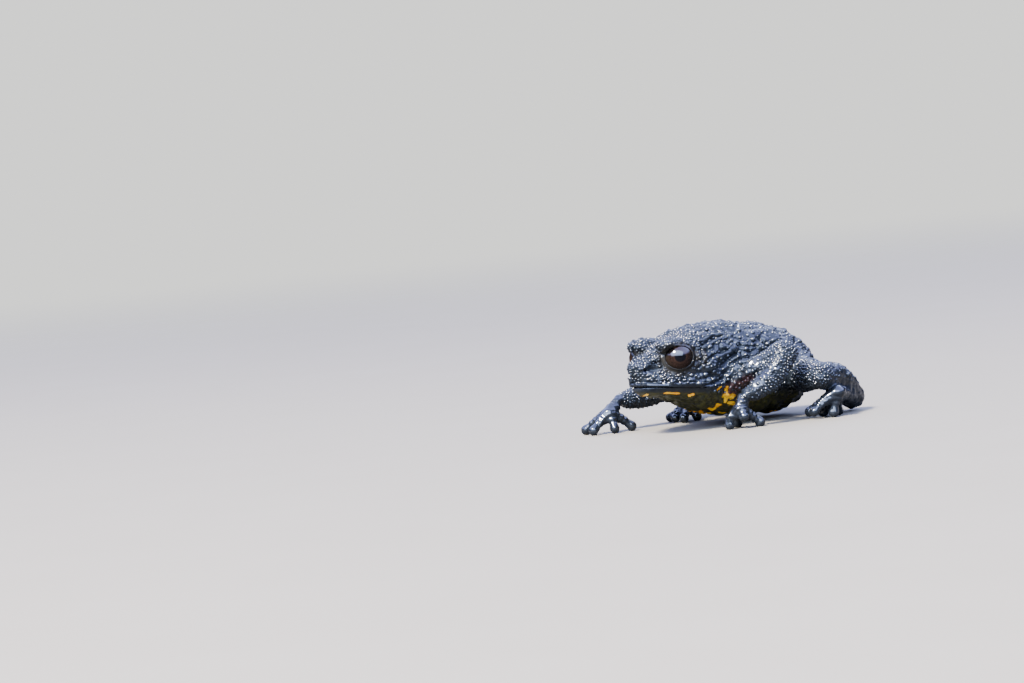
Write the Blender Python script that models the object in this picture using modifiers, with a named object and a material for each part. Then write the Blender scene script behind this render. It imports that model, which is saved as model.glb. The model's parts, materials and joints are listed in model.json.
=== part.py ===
"""A life-size bush toad in a slow walking stance, divided into head, jaw, torso, eyes and limb segments.

The animal faces -Y with its left side at +X. The forms are shaped in millimetres, with the snout tip at
y = 0 and the floor at z = 0, and each finished node is turned into metres about the middle of its footprint.
"""

import math
import random

import bmesh
import bpy
import numpy as np
from mathutils import Matrix, Vector
from mathutils.bvhtree import BVHTree

MM = 0.001
SNOUT_TO_VENT = 24.3
GAP = 0.3
EYE_GAP = 0.2
SHARP_ANGLE = math.radians(40)

# Side and top outlines of head and trunk: (distance behind the snout tip, height or half width)
BACK_LINE = ((0.0, 7.1), (0.6, 7.7), (1.2, 8.15), (2.0, 8.6), (3.0, 8.95), (5.0, 9.5), (7.5, 10.05),
             (11.5, 10.2), (16.5, 9.5), (19.5, 8.7), (22.0, 7.5), (23.5, 6.1), (SNOUT_TO_VENT, 4.8))
BELLY_LINE = ((0.0, 5.6), (0.3, 5.0), (0.9, 4.3), (3.5, 3.6), (5.5, 3.0), (7.5, 2.0), (10.5, 1.2),
              (15.0, 0.8), (19.0, 0.7), (22.0, 1.5), (23.5, 2.8), (SNOUT_TO_VENT, 4.0))
HALF_WIDTH = ((0.0, 0.9), (0.9, 1.75), (2.2, 2.65), (4.0, 3.4), (6.6, 4.1), (8.5, 4.1), (11.5, 4.7),
              (15.5, 5.1), (19.0, 4.7), (21.5, 3.7), (23.3, 2.1), (SNOUT_TO_VENT, 0.6))
WIDEST_LEVEL = ((0.0, 5.8), (3.0, 5.6), (7.0, 5.3), (14.0, 4.8), (SNOUT_TO_VENT, 4.4))
TRUNK_SECTIONS = 49
SECTION_POINTS = 40
SECTION_POWER = 2.5

# The head's own forms, on its left side; the right side mirrors them
EYE_CENTRE = Vector((2.25, 3.9, 7.5))
EYE_AXIS = Vector((0.84, -0.53, 0.1)).normalized()
EYE_RADIUS = 1.55
CORNEA_BULGE = 1.12
LID_THICKNESS = 0.43
LID_OPENING = (1.36, 1.08)
LID_SQUASH = 0.94
BROW_CENTRE = Vector((2.5, 3.85, 8.6))
BROW_RADII = (1.3, 2.15, 0.75)
BROW_TURN = 12
CANTHUS = ((2.25, 2.1, 8.3), (1.75, 1.35, 7.9), (1.35, 0.7, 7.45), (1.15, 0.3, 6.95))
CANTHUS_RADII = (0.4, 0.34, 0.3, 0.28)
CHEEK_CENTRE = Vector((3.2, 6.8, 6.2))
CHEEK_RADII = (1.15, 1.6, 1.5)
SNOUT_BALL = Vector((0.0, 0.65, 6.6))
SNOUT_RADII = (1.3, 0.9, 0.85)
NOSTRIL = Vector((1.3, 0.3, 6.55))
NOSTRIL_RADII = (0.2, 0.26, 0.2)
MOUTH_FRONT = 5.15
MOUTH_SLOPE = -0.12
MOUTH_CORNER = 6.7
LIP_LINE = ((0.0, 0.45), (1.1, 0.75), (2.1, 1.7), (3.1, 3.4), (3.75, 5.4), (4.0, MOUTH_CORNER))
LIP_RADIUS = 0.3
LIP_ABOVE_MOUTH = 0.42
JAW_END_LEAN = 0.42
NECK = 7.9

LEFT_ARM = {"shoulder": Vector((3.4, 9.4, 4.4)), "elbow": Vector((8.5, 12.5, 6.85)),
            "wrist": Vector((6.8, 7.9, 3.0)), "palm": Vector((6.7, 7.4, 1.9))}
RIGHT_ARM = {"shoulder": Vector((-3.4, 9.4, 4.4)), "elbow": Vector((-8.0, 12.2, 3.9)),
             "wrist": Vector((-9.2, 6.4, 3.2)), "palm": Vector((-9.1, 4.9, 2.0))}
LEFT_LEG = {"hip": Vector((2.6, 19.4, 4.4)), "knee": Vector((10.3, 15.4, 4.25)),
            "heel": Vector((7.8, 22.6, 1.5)), "sole": Vector((11.2, 16.7, 2.45))}
RIGHT_LEG = {"hip": Vector((-2.6, 19.4, 4.4)), "knee": Vector((-10.2, 15.6, 4.2)),
             "heel": Vector((-7.8, 22.8, 1.6)), "sole": Vector((-8.6, 16.4, 1.9))}

UPPER_ARM_RADII = (1.4, 1.15, 1.3)
FOREARM_RADII = (1.4, 1.3, 1.08, 0.62)
FOREARM_SAG = 0.35
WRIST_RADII = (0.62, 0.7)
PALM_RADII = (0.9, 0.9, 0.65)
THIGH_RADII = (1.9, 1.8, 1.35)
SHANK_RADII = (1.35, 1.45, 1.3)
CALF_RISE = 0.9
TARSUS_RADII = (1.3, 0.9, 0.75)
SOLE_RADII = (0.85, 0.9, 0.6)

# Digits as (tip, how far the knuckle bows outward)
LEFT_FINGERS = (((5.9, 6.6, 0.45), 0.45), ((7.4, 7.1, 1.2), 0.1), ((7.6, 9.1, 0.45), 0.1),
                ((5.2, 8.4, 0.45), 0.2))
RIGHT_FINGERS = (((-11.3, 3.6, 0.5), 0.2), ((-9.5, 2.9, 0.5), 0.1), ((-8.2, 4.6, 0.5), 0.1),
                 ((-7.9, 6.7, 0.5), 0.2))
LEFT_TOES = (((11.0, 16.2, 0.5), 0.0), ((10.0, 14.5, 0.8), 0.2), ((8.7, 15.2, 0.7), 0.2),
             ((8.9, 17.0, 0.45), 0.1), ((9.9, 18.1, 0.45), 0.1))
RIGHT_TOES = (((-6.85, 13.3, 0.5), 0.1), ((-8.3, 13.5, 0.5), 0.1), ((-9.7, 14.2, 0.5), 0.1),
              ((-6.9, 15.2, 0.45), 0.1), ((-10.2, 16.2, 0.45), 0.1))
DIGIT_RADII = (0.68, 0.52, 0.45, 0.54)
DIGIT_START = 0.2
DIGIT_KNUCKLE = 0.5
DIGIT_NECK = 0.82

# Warts of each node as (spacing, (least, greatest and usual radius), lowest facing that carries them)
WARTS = {"torso": (1.45, (0.3, 0.62, 0.44), -0.4), "head": (1.2, (0.22, 0.42, 0.3), -0.2),
         "upper_arm": (1.4, (0.24, 0.38, 0.3), -1.0), "forearm": (1.4, (0.24, 0.38, 0.3), -1.0),
         "thigh": (1.5, (0.26, 0.42, 0.34), -1.0), "shank": (1.5, (0.26, 0.42, 0.34), -1.0)}
WART_RELIEF = 0.75
WART_SEED = 24
WART_TRIES = 14

# How finely each skin is drawn, and how many triangles it keeps
TRUNK_VOXEL = 0.2
LIMB_VOXEL = 0.12
TRIANGLES = {"trunk": 2700, "upper_arm": 250, "forearm": 270, "hand": 500,
             "thigh": 270, "shank": 290, "tarsus": 220, "foot": 620}

# Colour and roughness by what the node's name starts with
FINISHES = {"eye": ((0.045, 0.018, 0.012), 0.08), "lower_jaw": ((0.026, 0.027, 0.018), 0.3),
            "hand": ((0.018, 0.02, 0.028), 0.2), "foot": ((0.018, 0.02, 0.028), 0.2),
            "tarsus": ((0.018, 0.02, 0.028), 0.24), "": ((0.02, 0.022, 0.03), 0.32)}


def smooth_line(knots):
    """A curve through (place, value) knots that never overshoots them."""
    place, value = np.array(knots, float).T
    step = np.diff(place)
    slope = np.diff(value) / step
    tangent = np.zeros(len(place))
    tangent[0], tangent[-1] = slope[0], slope[-1]
    for i in range(1, len(place) - 1):
        if slope[i - 1] * slope[i] > 0:
            tangent[i] = 2 * slope[i - 1] * slope[i] / (slope[i - 1] + slope[i])

    def at(x):
        i = int(np.clip(np.searchsorted(place, x) - 1, 0, len(step) - 1))
        t = float(np.clip((x - place[i]) / step[i], 0, 1))
        a, b = (2 * t - 3) * t * t + 1, (3 - 2 * t) * t * t
        c, d = ((t - 2) * t + 1) * t, (t - 1) * t * t
        return float(a * value[i] + b * value[i + 1] + step[i] * (c * tangent[i] + d * tangent[i + 1]))

    return at


back, belly = smooth_line(BACK_LINE), smooth_line(BELLY_LINE)
half_width, widest = smooth_line(HALF_WIDTH), smooth_line(WIDEST_LEVEL)


def mouth_level(y):
    return MOUTH_FRONT + MOUTH_SLOPE * y


def on_side(point, side):
    """A point of the left half, or its mirror image where side is -1."""
    return Vector((side * point[0], point[1], point[2]))


def object_of(mesh, name):
    made = bpy.data.objects.new(name, mesh)
    bpy.context.scene.collection.objects.link(made)
    return made


def object_from(bm, name):
    mesh = bpy.data.meshes.new(name)
    bm.to_mesh(mesh)
    bm.free()
    return object_of(mesh, name)


def mesh_of(obj, name):
    """The object as its modifiers leave it, as a plain mesh object that takes its place."""
    graph = bpy.context.evaluated_depsgraph_get()
    mesh = bpy.data.meshes.new_from_object(obj.evaluated_get(graph))
    mesh.transform(obj.matrix_world)
    bpy.data.objects.remove(obj)
    return object_of(mesh, name)


def loft(name, rings):
    """A closed skin over rings of points that all have the same count."""
    bm = bmesh.new()
    rows = [[bm.verts.new(p) for p in ring] for ring in rings]
    count = len(rings[0])
    for row, following in zip(rows, rows[1:]):
        for i in range(count):
            j = (i + 1) % count
            bm.faces.new((row[i], row[j], following[j], following[i]))
    bm.faces.new(reversed(rows[0]))
    bm.faces.new(rows[-1])
    bmesh.ops.recalc_face_normals(bm, faces=bm.faces)
    return object_from(bm, name)


def ball(centre, radii, turn=(0, 0, 0), fineness=4):
    """An ellipsoid with these half sizes, turned by degrees about X, Y and Z."""
    bm = bmesh.new()
    bmesh.ops.create_icosphere(bm, subdivisions=fineness, radius=1)
    rotation = Matrix.Identity(4)
    for axis, angle in zip("XYZ", turn):
        rotation = Matrix.Rotation(math.radians(angle), 4, axis) @ rotation
    bm.transform(Matrix.Translation(centre) @ rotation @ Matrix.Diagonal((*radii, 1)))
    return object_from(bm, "ball")


def tube(points, radii, steps=7):
    """A round limb through points, its radius eased from one point to the next, with ball ends."""
    places = np.arange(len(points), dtype=float)
    lines = [smooth_line(list(zip(places, values))) for values in (*zip(*points), radii)]
    samples = np.linspace(0, len(points) - 1, (len(points) - 1) * steps + 1)
    curve = bpy.data.curves.new("tube", "CURVE")
    curve.dimensions = "3D"
    curve.bevel_depth = 1
    curve.bevel_resolution = 4
    curve.use_fill_caps = True
    spline = curve.splines.new("POLY")
    spline.points.add(len(samples) - 1)
    for point, t in zip(spline.points, samples):
        x, y, z, radius = (line(t) for line in lines)
        point.co = (x, y, z, 1)
        point.radius = radius
    run = mesh_of(object_of(curve, "tube"), "tube")
    return [run, ball(points[0], (radii[0],) * 3), ball(points[-1], (radii[-1],) * 3)]


def plate(centre, normal, size, thickness=GAP):
    """A block of this thickness across normal, used as a cutter."""
    bm = bmesh.new()
    bmesh.ops.create_cube(bm, size=1)
    turn = Vector(normal).to_track_quat("Z", "Y").to_matrix().to_4x4()
    bm.transform(Matrix.Translation(centre) @ turn @ Matrix.Diagonal((*size, thickness, 1)))
    return object_from(bm, "plate")


def half_space(point, normal, reach=24):
    """A block that fills the space beyond a plane and half a gap before it."""
    return plate(point + normal * (reach - GAP) / 2, normal, (reach, reach), reach)


def floor_block(depth=10):
    return plate((0, SNOUT_TO_VENT / 2, -depth / 2), (0, 0, 1), (60, 60), depth)


def fuse(name, pieces, voxel, rounds, triangles):
    """One skin over overlapping pieces, smoothed, with about this many triangles."""
    for piece in pieces:
        piece.select_set(True)
    bpy.context.view_layer.objects.active = pieces[0]
    bpy.ops.object.join()
    fused = pieces[0]
    fused.select_set(False)
    remesh = fused.modifiers.new("one skin", "REMESH")
    remesh.mode = "VOXEL"
    remesh.voxel_size = voxel
    smooth = fused.modifiers.new("soften", "SMOOTH")
    smooth.factor = 0.5
    smooth.iterations = rounds
    fused = mesh_of(fused, name)
    fewer = fused.modifiers.new("fewer faces", "DECIMATE")
    fewer.use_collapse_triangulate = True
    fewer.ratio = triangles / (2 * len(fused.data.polygons))
    return mesh_of(fused, name)


def combine(target, tools, operation):
    """The target joined with, or cut by, every tool at once; the tools are used up."""
    group = bpy.data.collections.new("tools")
    for tool in tools:
        group.objects.link(tool)
    boolean = target.modifiers.new("combine", "BOOLEAN")
    boolean.operation = operation
    boolean.operand_type = "COLLECTION"
    boolean.collection = group
    boolean.solver = "MANIFOLD"
    done = mesh_of(target, target.name)
    for tool in tools:
        bpy.data.objects.remove(tool)
    bpy.data.collections.remove(group)
    return done


def loose_parts(obj):
    """Every closed surface of the object as an object of its own, the largest first."""
    bm = bmesh.new()
    bm.from_mesh(obj.data)
    left = set(bm.verts)
    groups = []
    while left:
        seed = left.pop()
        group, front = {seed}, [seed]
        while front:
            near = {vert for edge in front.pop().link_edges for vert in edge.verts} & left
            left -= near
            group |= near
            front.extend(near)
        groups.append({vert.index for vert in group})
    bm.free()
    parts = []
    for group in sorted(groups, key=lambda g: (-len(g), min(g))):
        part = bmesh.new()
        part.from_mesh(obj.data)
        bmesh.ops.delete(part, geom=[v for v in part.verts if v.index not in group], context="VERTS")
        parts.append(object_from(part, "loose"))
    bpy.data.objects.remove(obj)
    return parts


def largest_part(obj):
    """The object without any scrap that a cut left loose."""
    name = obj.name
    kept, *scraps = loose_parts(obj)
    for scrap in scraps:
        bpy.data.objects.remove(scrap)
    kept.name = name
    return kept


def share_out(parts, seeds):
    """Names each part after the seed point nearest to its middle, and drops scraps."""
    named = {}
    for name, seed in seeds.items():
        def far(part):
            points = np.array([v.co for v in part.data.vertices])
            return np.linalg.norm((points.max(0) + points.min(0)) / 2 - np.array(seed))

        best = min((part for part in parts if part not in named.values()), key=far)
        best.name = name
        named[name] = best
    for part in parts:
        if part not in named.values():
            bpy.data.objects.remove(part)
    return named


def swollen(obj):
    """A copy that stands off by the gap that neighbours keep."""
    twin = obj.copy()
    twin.data = obj.data.copy()
    bpy.context.scene.collection.objects.link(twin)
    stand_off = twin.modifiers.new("stand off", "DISPLACE")
    stand_off.strength = GAP
    stand_off.mid_level = 0
    return mesh_of(twin, "swollen")


def outline_tree(obj):
    bm = bmesh.new()
    bm.from_mesh(obj.data)
    tree = BVHTree.FromBMesh(bm)
    bm.free()
    return tree


def section(y):
    """One ring of the head and trunk: a rounded section with its own top, bottom and sides."""
    ring = []
    for i in range(SECTION_POINTS):
        angle = 2 * math.pi * i / SECTION_POINTS
        c, s = math.cos(angle), math.sin(angle)
        reach = back(y) - widest(y) if s > 0 else widest(y) - belly(y)
        ring.append((half_width(y) * math.copysign(abs(c) ** (2 / SECTION_POWER), c), y,
                     widest(y) + reach * math.copysign(abs(s) ** (2 / SECTION_POWER), s)))
    return ring


def head_and_trunk_forms():
    """Everything between snout and vent: the lofted trunk, lids, brows, canthal ridges, lips and cheeks."""
    last = TRUNK_SECTIONS - 1
    places = [SNOUT_TO_VENT * (1 - math.cos(math.pi * i / last)) / 2 for i in range(TRUNK_SECTIONS)]
    forms = [loft("trunk", [section(y) for y in places]), ball(SNOUT_BALL, SNOUT_RADII)]
    lid = EYE_RADIUS + LID_THICKNESS
    lip = [(x, y, mouth_level(y) + LIP_ABOVE_MOUTH) for x, y in LIP_LINE]
    for side in (1, -1):
        forms.append(ball(on_side(EYE_CENTRE, side), (lid, lid, lid * LID_SQUASH)))
        forms.append(ball(on_side(BROW_CENTRE, side), BROW_RADII, (0, side * BROW_TURN, -side * BROW_TURN)))
        forms += tube([on_side(p, side) for p in CANTHUS], CANTHUS_RADII)
        forms += tube([on_side(p, side) for p in lip], (LIP_RADIUS,) * len(lip))
        forms.append(ball(on_side(CHEEK_CENTRE, side), CHEEK_RADII))
    return forms


def digits(base, tips):
    """Short thick digits that leave a palm or sole and end in round knobs."""
    forms = []
    for tip, bow in tips:
        tip = Vector(tip)
        out = Vector((tip.x - base.x, tip.y - base.y, 0)).normalized()
        knuckle = base.lerp(tip, DIGIT_KNUCKLE) + out * bow
        neck = base.lerp(tip, DIGIT_NECK) + out * bow / 2
        forms += tube([base.lerp(tip, DIGIT_START), knuckle, neck, tip], DIGIT_RADII)
    return forms


def arm_segments(arm, tips):
    """The forms of each segment, from the body outward, and the joints between them."""
    shoulder, elbow, wrist, palm = (arm[k] for k in ("shoulder", "elbow", "wrist", "palm"))
    upper = tube([shoulder, shoulder.lerp(elbow, 0.5), elbow], UPPER_ARM_RADII)
    sag = FOREARM_SAG * Vector((math.copysign(1, elbow.x), 1, -1))
    fore = tube([elbow, elbow.lerp(wrist, 0.4) + sag, elbow.lerp(wrist, 0.75) + sag * 0.8, wrist], FOREARM_RADII)
    hand = tube([wrist, palm], WRIST_RADII) + [ball(palm, PALM_RADII)] + digits(palm, tips)
    return (("upper_arm", upper), ("forearm", fore), ("hand", hand)), (shoulder, elbow, wrist, palm)


def leg_segments(leg, tips):
    """The same for a leg, whose tarsus doubles back beside the shank."""
    hip, knee, heel, sole = (leg[k] for k in ("hip", "knee", "heel", "sole"))
    calf = knee.lerp(heel, 0.5) + Vector((0, 0, CALF_RISE))
    thigh = tube([hip, hip.lerp(knee, 0.5), knee], THIGH_RADII)
    shank = tube([knee, calf, heel], SHANK_RADII)
    tarsus = tube([heel, heel.lerp(sole, 0.5), sole], TARSUS_RADII)
    foot = [ball(sole, SOLE_RADII)] + digits(sole, tips)
    instep = heel.lerp(sole, 0.85)
    return (("thigh", thigh), ("shank", shank), ("tarsus", tarsus), ("foot", foot)), (hip, knee, heel, instep, sole)


def limb(side, segments, joints, trunk):
    """Every segment of a limb, clear of the body and parted from the next halfway through each bend."""
    planes = []
    for before, joint, after in zip(joints, joints[1:], joints[2:]):
        planes.append((joint, ((joint - before).normalized() + (after - joint).normalized()).normalized()))
    last = len(segments) - 1
    nodes = {}
    for i, (kind, forms) in enumerate(segments):
        segment = fuse(kind + "_" + side, forms, LIMB_VOXEL, 2, TRIANGLES[kind])
        cutters = [swollen(trunk), floor_block()]
        if 0 < i < last:
            point, normal = planes[i - 1]
            cutters.append(half_space(point, -normal))
        if i < last:
            cutters.append(half_space(*planes[i]))
        else:
            cutters += [swollen(node) for node in nodes.values()]
        segment = largest_part(combine(segment, cutters, "DIFFERENCE"))
        nodes[segment.name] = segment
    return nodes


def facing_matrix(centre, axis):
    """Places a form so that its Z points along axis and its X stays level."""
    across = Vector((0, 0, 1)).cross(axis).normalized()
    return Matrix.Translation(centre) @ Matrix((across, axis.cross(across), axis)).transposed().to_4x4()


def lid_opening(centre, axis):
    """The almond between the lids, as a cutter that runs outward from inside the socket."""
    bm = bmesh.new()
    depth = 2 * EYE_RADIUS
    start = 0.2 * EYE_RADIUS
    bmesh.ops.create_cone(bm, cap_ends=True, segments=24, radius1=1, radius2=1.12, depth=depth)
    bm.transform(facing_matrix(centre + axis * (start + depth / 2), axis) @ Matrix.Diagonal((*LID_OPENING, 1, 1)))
    return object_from(bm, "opening")


def eyeball(name, centre, axis):
    """A ball whose front half stands forward as the cornea does."""
    bm = bmesh.new()
    bmesh.ops.create_uvsphere(bm, u_segments=16, v_segments=10, radius=EYE_RADIUS)
    for vert in bm.verts:
        vert.co.z *= CORNEA_BULGE if vert.co.z > 0 else 1
    bm.transform(facing_matrix(centre, axis))
    return object_from(bm, name)


def head_cutters(trunk):
    """What parts the head from torso and jaw, and opens sockets, lids and nostrils in it."""
    middle = MOUTH_CORNER / 2 - 1.5
    cutters = [plate((0, NECK, 6), (0, 1, 0.06), (11, 14)),
               plate((0, middle, mouth_level(middle)), (0, -MOUTH_SLOPE, 1), (12, MOUTH_CORNER + 3)),
               plate((0, MOUTH_CORNER + 0.55, 2.95), (0, 1, JAW_END_LEAN), (12, 3.4))]
    surface = outline_tree(trunk)
    for side in (1, -1):
        centre, axis = on_side(EYE_CENTRE, side), on_side(EYE_AXIS, side)
        cutters.append(ball(centre, (EYE_RADIUS + EYE_GAP,) * 3, fineness=3))
        cutters.append(lid_opening(centre, axis))
        nostril = surface.find_nearest(on_side(NOSTRIL, side))[0]
        cutters.append(ball(nostril, NOSTRIL_RADII, fineness=2))
    return cutters


def wart(place, out, radius, draw):
    """A low dome sunk half into the surface, a little longer one way than the other."""
    bm = bmesh.new()
    bmesh.ops.create_uvsphere(bm, u_segments=6 if radius > 0.35 else 5, v_segments=3, radius=radius)
    wide = draw.uniform(0.85, 1.2)
    turn = out.to_track_quat("Z", "Y").to_matrix().to_4x4() @ Matrix.Rotation(draw.uniform(0, math.tau), 4, "Z")
    bm.transform(Matrix.Translation(place) @ turn @ Matrix.Diagonal((wide, 1 / wide, WART_RELIEF, 1)))
    return object_from(bm, "wart")


def with_warts(node, neighbours, draw, spacing, radii, lowest_facing):
    """The node with seeded warts that keep off its neighbours, the floor and each other."""
    mesh = node.data
    mesh.calc_loop_triangles()
    corners = np.array([[mesh.vertices[i].co for i in t.vertices] for t in mesh.loop_triangles])
    across = np.cross(corners[:, 1] - corners[:, 0], corners[:, 2] - corners[:, 0])
    twice_area = np.linalg.norm(across, axis=1)
    facing = across / np.maximum(twice_area, 1e-9)[:, None]
    tries = int(WART_TRIES * twice_area.sum() / 2 / spacing ** 2)
    trees = [outline_tree(other) for other in neighbours]
    grown, places = [], []
    for i in draw.choices(range(len(corners)), weights=twice_area.tolist(), k=tries):
        a, b = sorted((draw.random(), draw.random()))
        place = Vector(corners[i].T @ np.array((a, b - a, 1 - b)))
        radius = draw.triangular(*radii)
        out = Vector(facing[i])
        clear = radius + 1.2 * GAP
        if out.z < lowest_facing or place.z < 2 * radius:
            continue
        if any((place - other).length < spacing for other in places):
            continue
        if any(tree.find_nearest(place, clear)[0] is not None for tree in trees):
            continue
        places.append(place)
        grown.append(wart(place, out, radius, draw))
    return largest_part(combine(node, grown, "UNION"))


def build():
    trunk = fuse("trunk", head_and_trunk_forms(), TRUNK_VOXEL, 5, TRIANGLES["trunk"])
    nodes = {}
    for side, arm, fingers, leg, toes in (("left", LEFT_ARM, LEFT_FINGERS, LEFT_LEG, LEFT_TOES),
                                          ("right", RIGHT_ARM, RIGHT_FINGERS, RIGHT_LEG, RIGHT_TOES)):
        nodes.update(limb(side, *arm_segments(arm, fingers), trunk))
        nodes.update(limb(side, *leg_segments(leg, toes), trunk))
    for name, side in (("eye_left", 1), ("eye_right", -1)):
        nodes[name] = eyeball(name, on_side(EYE_CENTRE, side), on_side(EYE_AXIS, side))
    body = combine(trunk, head_cutters(trunk), "DIFFERENCE")
    nodes.update(share_out(loose_parts(body), {"torso": (0, 15.5, 6), "head": (0, 4.5, 7),
                                              "lower_jaw": (0, 3.5, 4.2)}))
    draw = random.Random(WART_SEED)
    for kind, (spacing, radii, lowest_facing) in WARTS.items():
        for name in [name for name in nodes if name.startswith(kind)]:
            others = [node for other, node in nodes.items() if other != name]
            nodes[name] = with_warts(nodes[name], others, draw, spacing, radii, lowest_facing)
    return nodes


def finish_of(name):
    colour, roughness = next(value for start, value in FINISHES.items() if name.startswith(start))
    material = bpy.data.materials.new(name)
    material.use_nodes = True
    shader = material.node_tree.nodes["Principled BSDF"]
    shader.inputs["Base Color"].default_value = (*colour, 1)
    shader.inputs["Roughness"].default_value = roughness
    shader.inputs["Metallic"].default_value = 0
    return material


def settle(nodes):
    """Turns every node from millimetres about the snout into metres about the footprint's middle."""
    points = np.concatenate([[v.co for v in node.data.vertices] for node in nodes.values()])
    low, high = points.min(0), points.max(0)
    middle = Vector(((low[0] + high[0]) / 2, (low[1] + high[1]) / 2, 0))
    kept = bpy.data.collections.new("bush_toad")
    bpy.context.scene.collection.children.link(kept)
    for name, node in nodes.items():
        node.data.transform(Matrix.Scale(MM, 4) @ Matrix.Translation(-middle))
        node.data.materials.clear()
        node.data.materials.append(finish_of(name))
        node.data.shade_smooth()
        node.data.set_sharp_from_angle(angle=SHARP_ANGLE)
        bpy.context.scene.collection.objects.unlink(node)
        kept.objects.link(node)


for old in list(bpy.data.objects):
    bpy.data.objects.remove(old)
settle(build())
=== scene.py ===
# %% [markdown]
# # A wet black bush toad, life size
# This lesson dresses a packed, faceted toad about 24 mm long. One fine skin replaces every node of flesh,
# granules and pearls of skin are set on it, and two separate eyes fill the sockets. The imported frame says
# where the toad stands, so the first cell loads it and nothing else is read.

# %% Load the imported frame
import json
import math
import random

import bmesh
import bpy
import numpy as np
from mathutils import Matrix, Vector, noise
from mathutils.bvhtree import BVHTree
from mathutils.interpolate import poly_3d_calc
from mathutils.kdtree import KDTree

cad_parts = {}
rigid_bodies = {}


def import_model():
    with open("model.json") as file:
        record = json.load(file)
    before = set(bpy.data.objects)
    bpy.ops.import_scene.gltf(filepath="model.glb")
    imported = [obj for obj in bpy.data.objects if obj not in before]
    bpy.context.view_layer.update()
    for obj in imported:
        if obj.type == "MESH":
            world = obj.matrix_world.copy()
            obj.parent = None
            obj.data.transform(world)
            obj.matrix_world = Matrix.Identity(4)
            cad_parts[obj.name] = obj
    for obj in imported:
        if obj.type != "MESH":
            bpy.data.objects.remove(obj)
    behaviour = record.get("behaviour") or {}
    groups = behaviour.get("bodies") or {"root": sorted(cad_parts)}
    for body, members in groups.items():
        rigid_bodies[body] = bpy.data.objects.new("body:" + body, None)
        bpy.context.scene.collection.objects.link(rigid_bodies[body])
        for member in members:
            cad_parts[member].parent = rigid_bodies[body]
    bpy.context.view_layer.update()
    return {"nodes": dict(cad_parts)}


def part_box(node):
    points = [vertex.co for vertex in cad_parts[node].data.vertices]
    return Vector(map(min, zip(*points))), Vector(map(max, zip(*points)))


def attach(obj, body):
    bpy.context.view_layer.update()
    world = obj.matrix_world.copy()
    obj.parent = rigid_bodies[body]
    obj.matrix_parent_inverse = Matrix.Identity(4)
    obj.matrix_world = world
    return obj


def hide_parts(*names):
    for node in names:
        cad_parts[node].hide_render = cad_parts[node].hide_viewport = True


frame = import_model()
FLESH = sorted(name for name in frame["nodes"] if not name.startswith("eye"))
print("flesh nodes to replace:", len(FLESH))

# %% [markdown]
# The toad is shaped in millimetres, with the snout tip at y = 0 and the floor at z = 0, as its solids were.
# The eyes tie that drawing to the frame: the middle between them is the drawing's x = 0, and their boxes
# give its y. The cornea stands a little forward and is allowed for.

# %% Tie the drawing in millimetres to the frame
MM = 0.001
EYE_CENTRE = Vector((2.25, 3.9, 7.5))
EYE_AXIS = Vector((0.81, -0.575, 0.1)).normalized()
EYE_RADIUS = 1.54
CORNEA_SHIFT = 0.03

corners = [corner / MM for name in ("eye_left", "eye_right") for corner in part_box(name)]
eyes_middle = sum(corners, Vector()) / len(corners)
SHIFT = Vector((eyes_middle.x, eyes_middle.y + CORNEA_SHIFT - EYE_CENTRE.y, 0))
TO_FRAME = Matrix.Scale(MM, 4) @ Matrix.Translation(SHIFT)
print("the drawing's origin is at", [round(v, 2) for v in SHIFT], "mm in the frame")

# %% [markdown]
# The camera looks at the toad from its left front, a little above the floor. It is rolled by a few degrees,
# because the body is tilted in the picture. A long lens from 36 cm keeps the proportions of a close
# portrait. The near eye is the anchor: this point of it falls on this pixel of a frame 1024 pixels wide.

# %% Camera
AZIMUTH, ELEVATION, ROLL = (math.radians(v) for v in (47.0, 3.0, 5.5))
LENS, SENSOR = 130.0, 36.0
FRAME_WIDTH, FRAME_HEIGHT = 1024, 683
PIXELS_PER_MM = 10.2
ANCHOR, ANCHOR_PIXEL = Vector((3.3, 3.3, 7.6)), (681, 357)

right = Vector((math.cos(AZIMUTH), math.sin(AZIMUTH), 0))
toward = Vector((math.sin(AZIMUTH) * math.cos(ELEVATION), -math.cos(AZIMUTH) * math.cos(ELEVATION),
                 math.sin(ELEVATION)))
level_up = toward.cross(right)
across = right * math.cos(ROLL) - level_up * math.sin(ROLL)
upward = level_up * math.cos(ROLL) + right * math.sin(ROLL)
distance = FRAME_WIDTH / PIXELS_PER_MM * LENS / SENSOR
aim = (ANCHOR - across * (ANCHOR_PIXEL[0] - FRAME_WIDTH / 2) / PIXELS_PER_MM
       + upward * (ANCHOR_PIXEL[1] - FRAME_HEIGHT / 2) / PIXELS_PER_MM)

camera = bpy.data.objects.new("camera", bpy.data.cameras.new("camera"))
bpy.context.scene.collection.objects.link(camera)
camera.data.lens, camera.data.sensor_width = LENS, SENSOR
camera.data.clip_start, camera.data.clip_end = 0.01, 20
pose = Matrix((across, upward, toward)).transposed().to_4x4()
pose.translation = TO_FRAME @ (aim + toward * distance)
camera.matrix_world = pose
bpy.context.scene.camera = camera
print("camera", round(distance), "mm away")

# %% [markdown]
# Arithmetic reads best as arithmetic. One small class wraps a socket, so that adding or multiplying two of
# them adds the Math node, and another adds any node from its type, its inputs and its settings. Both work
# in shader trees and in geometry trees.

# %% Node helpers


def operator(operation, swapped=False):
    """A method that adds one Math node for a wire and another value."""

    def apply(wire, other):
        first, second = (other, wire) if swapped else (wire, other)
        return wire.board.add("ShaderNodeMath", {0: first, 1: second}, operation=operation)

    return apply


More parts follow.
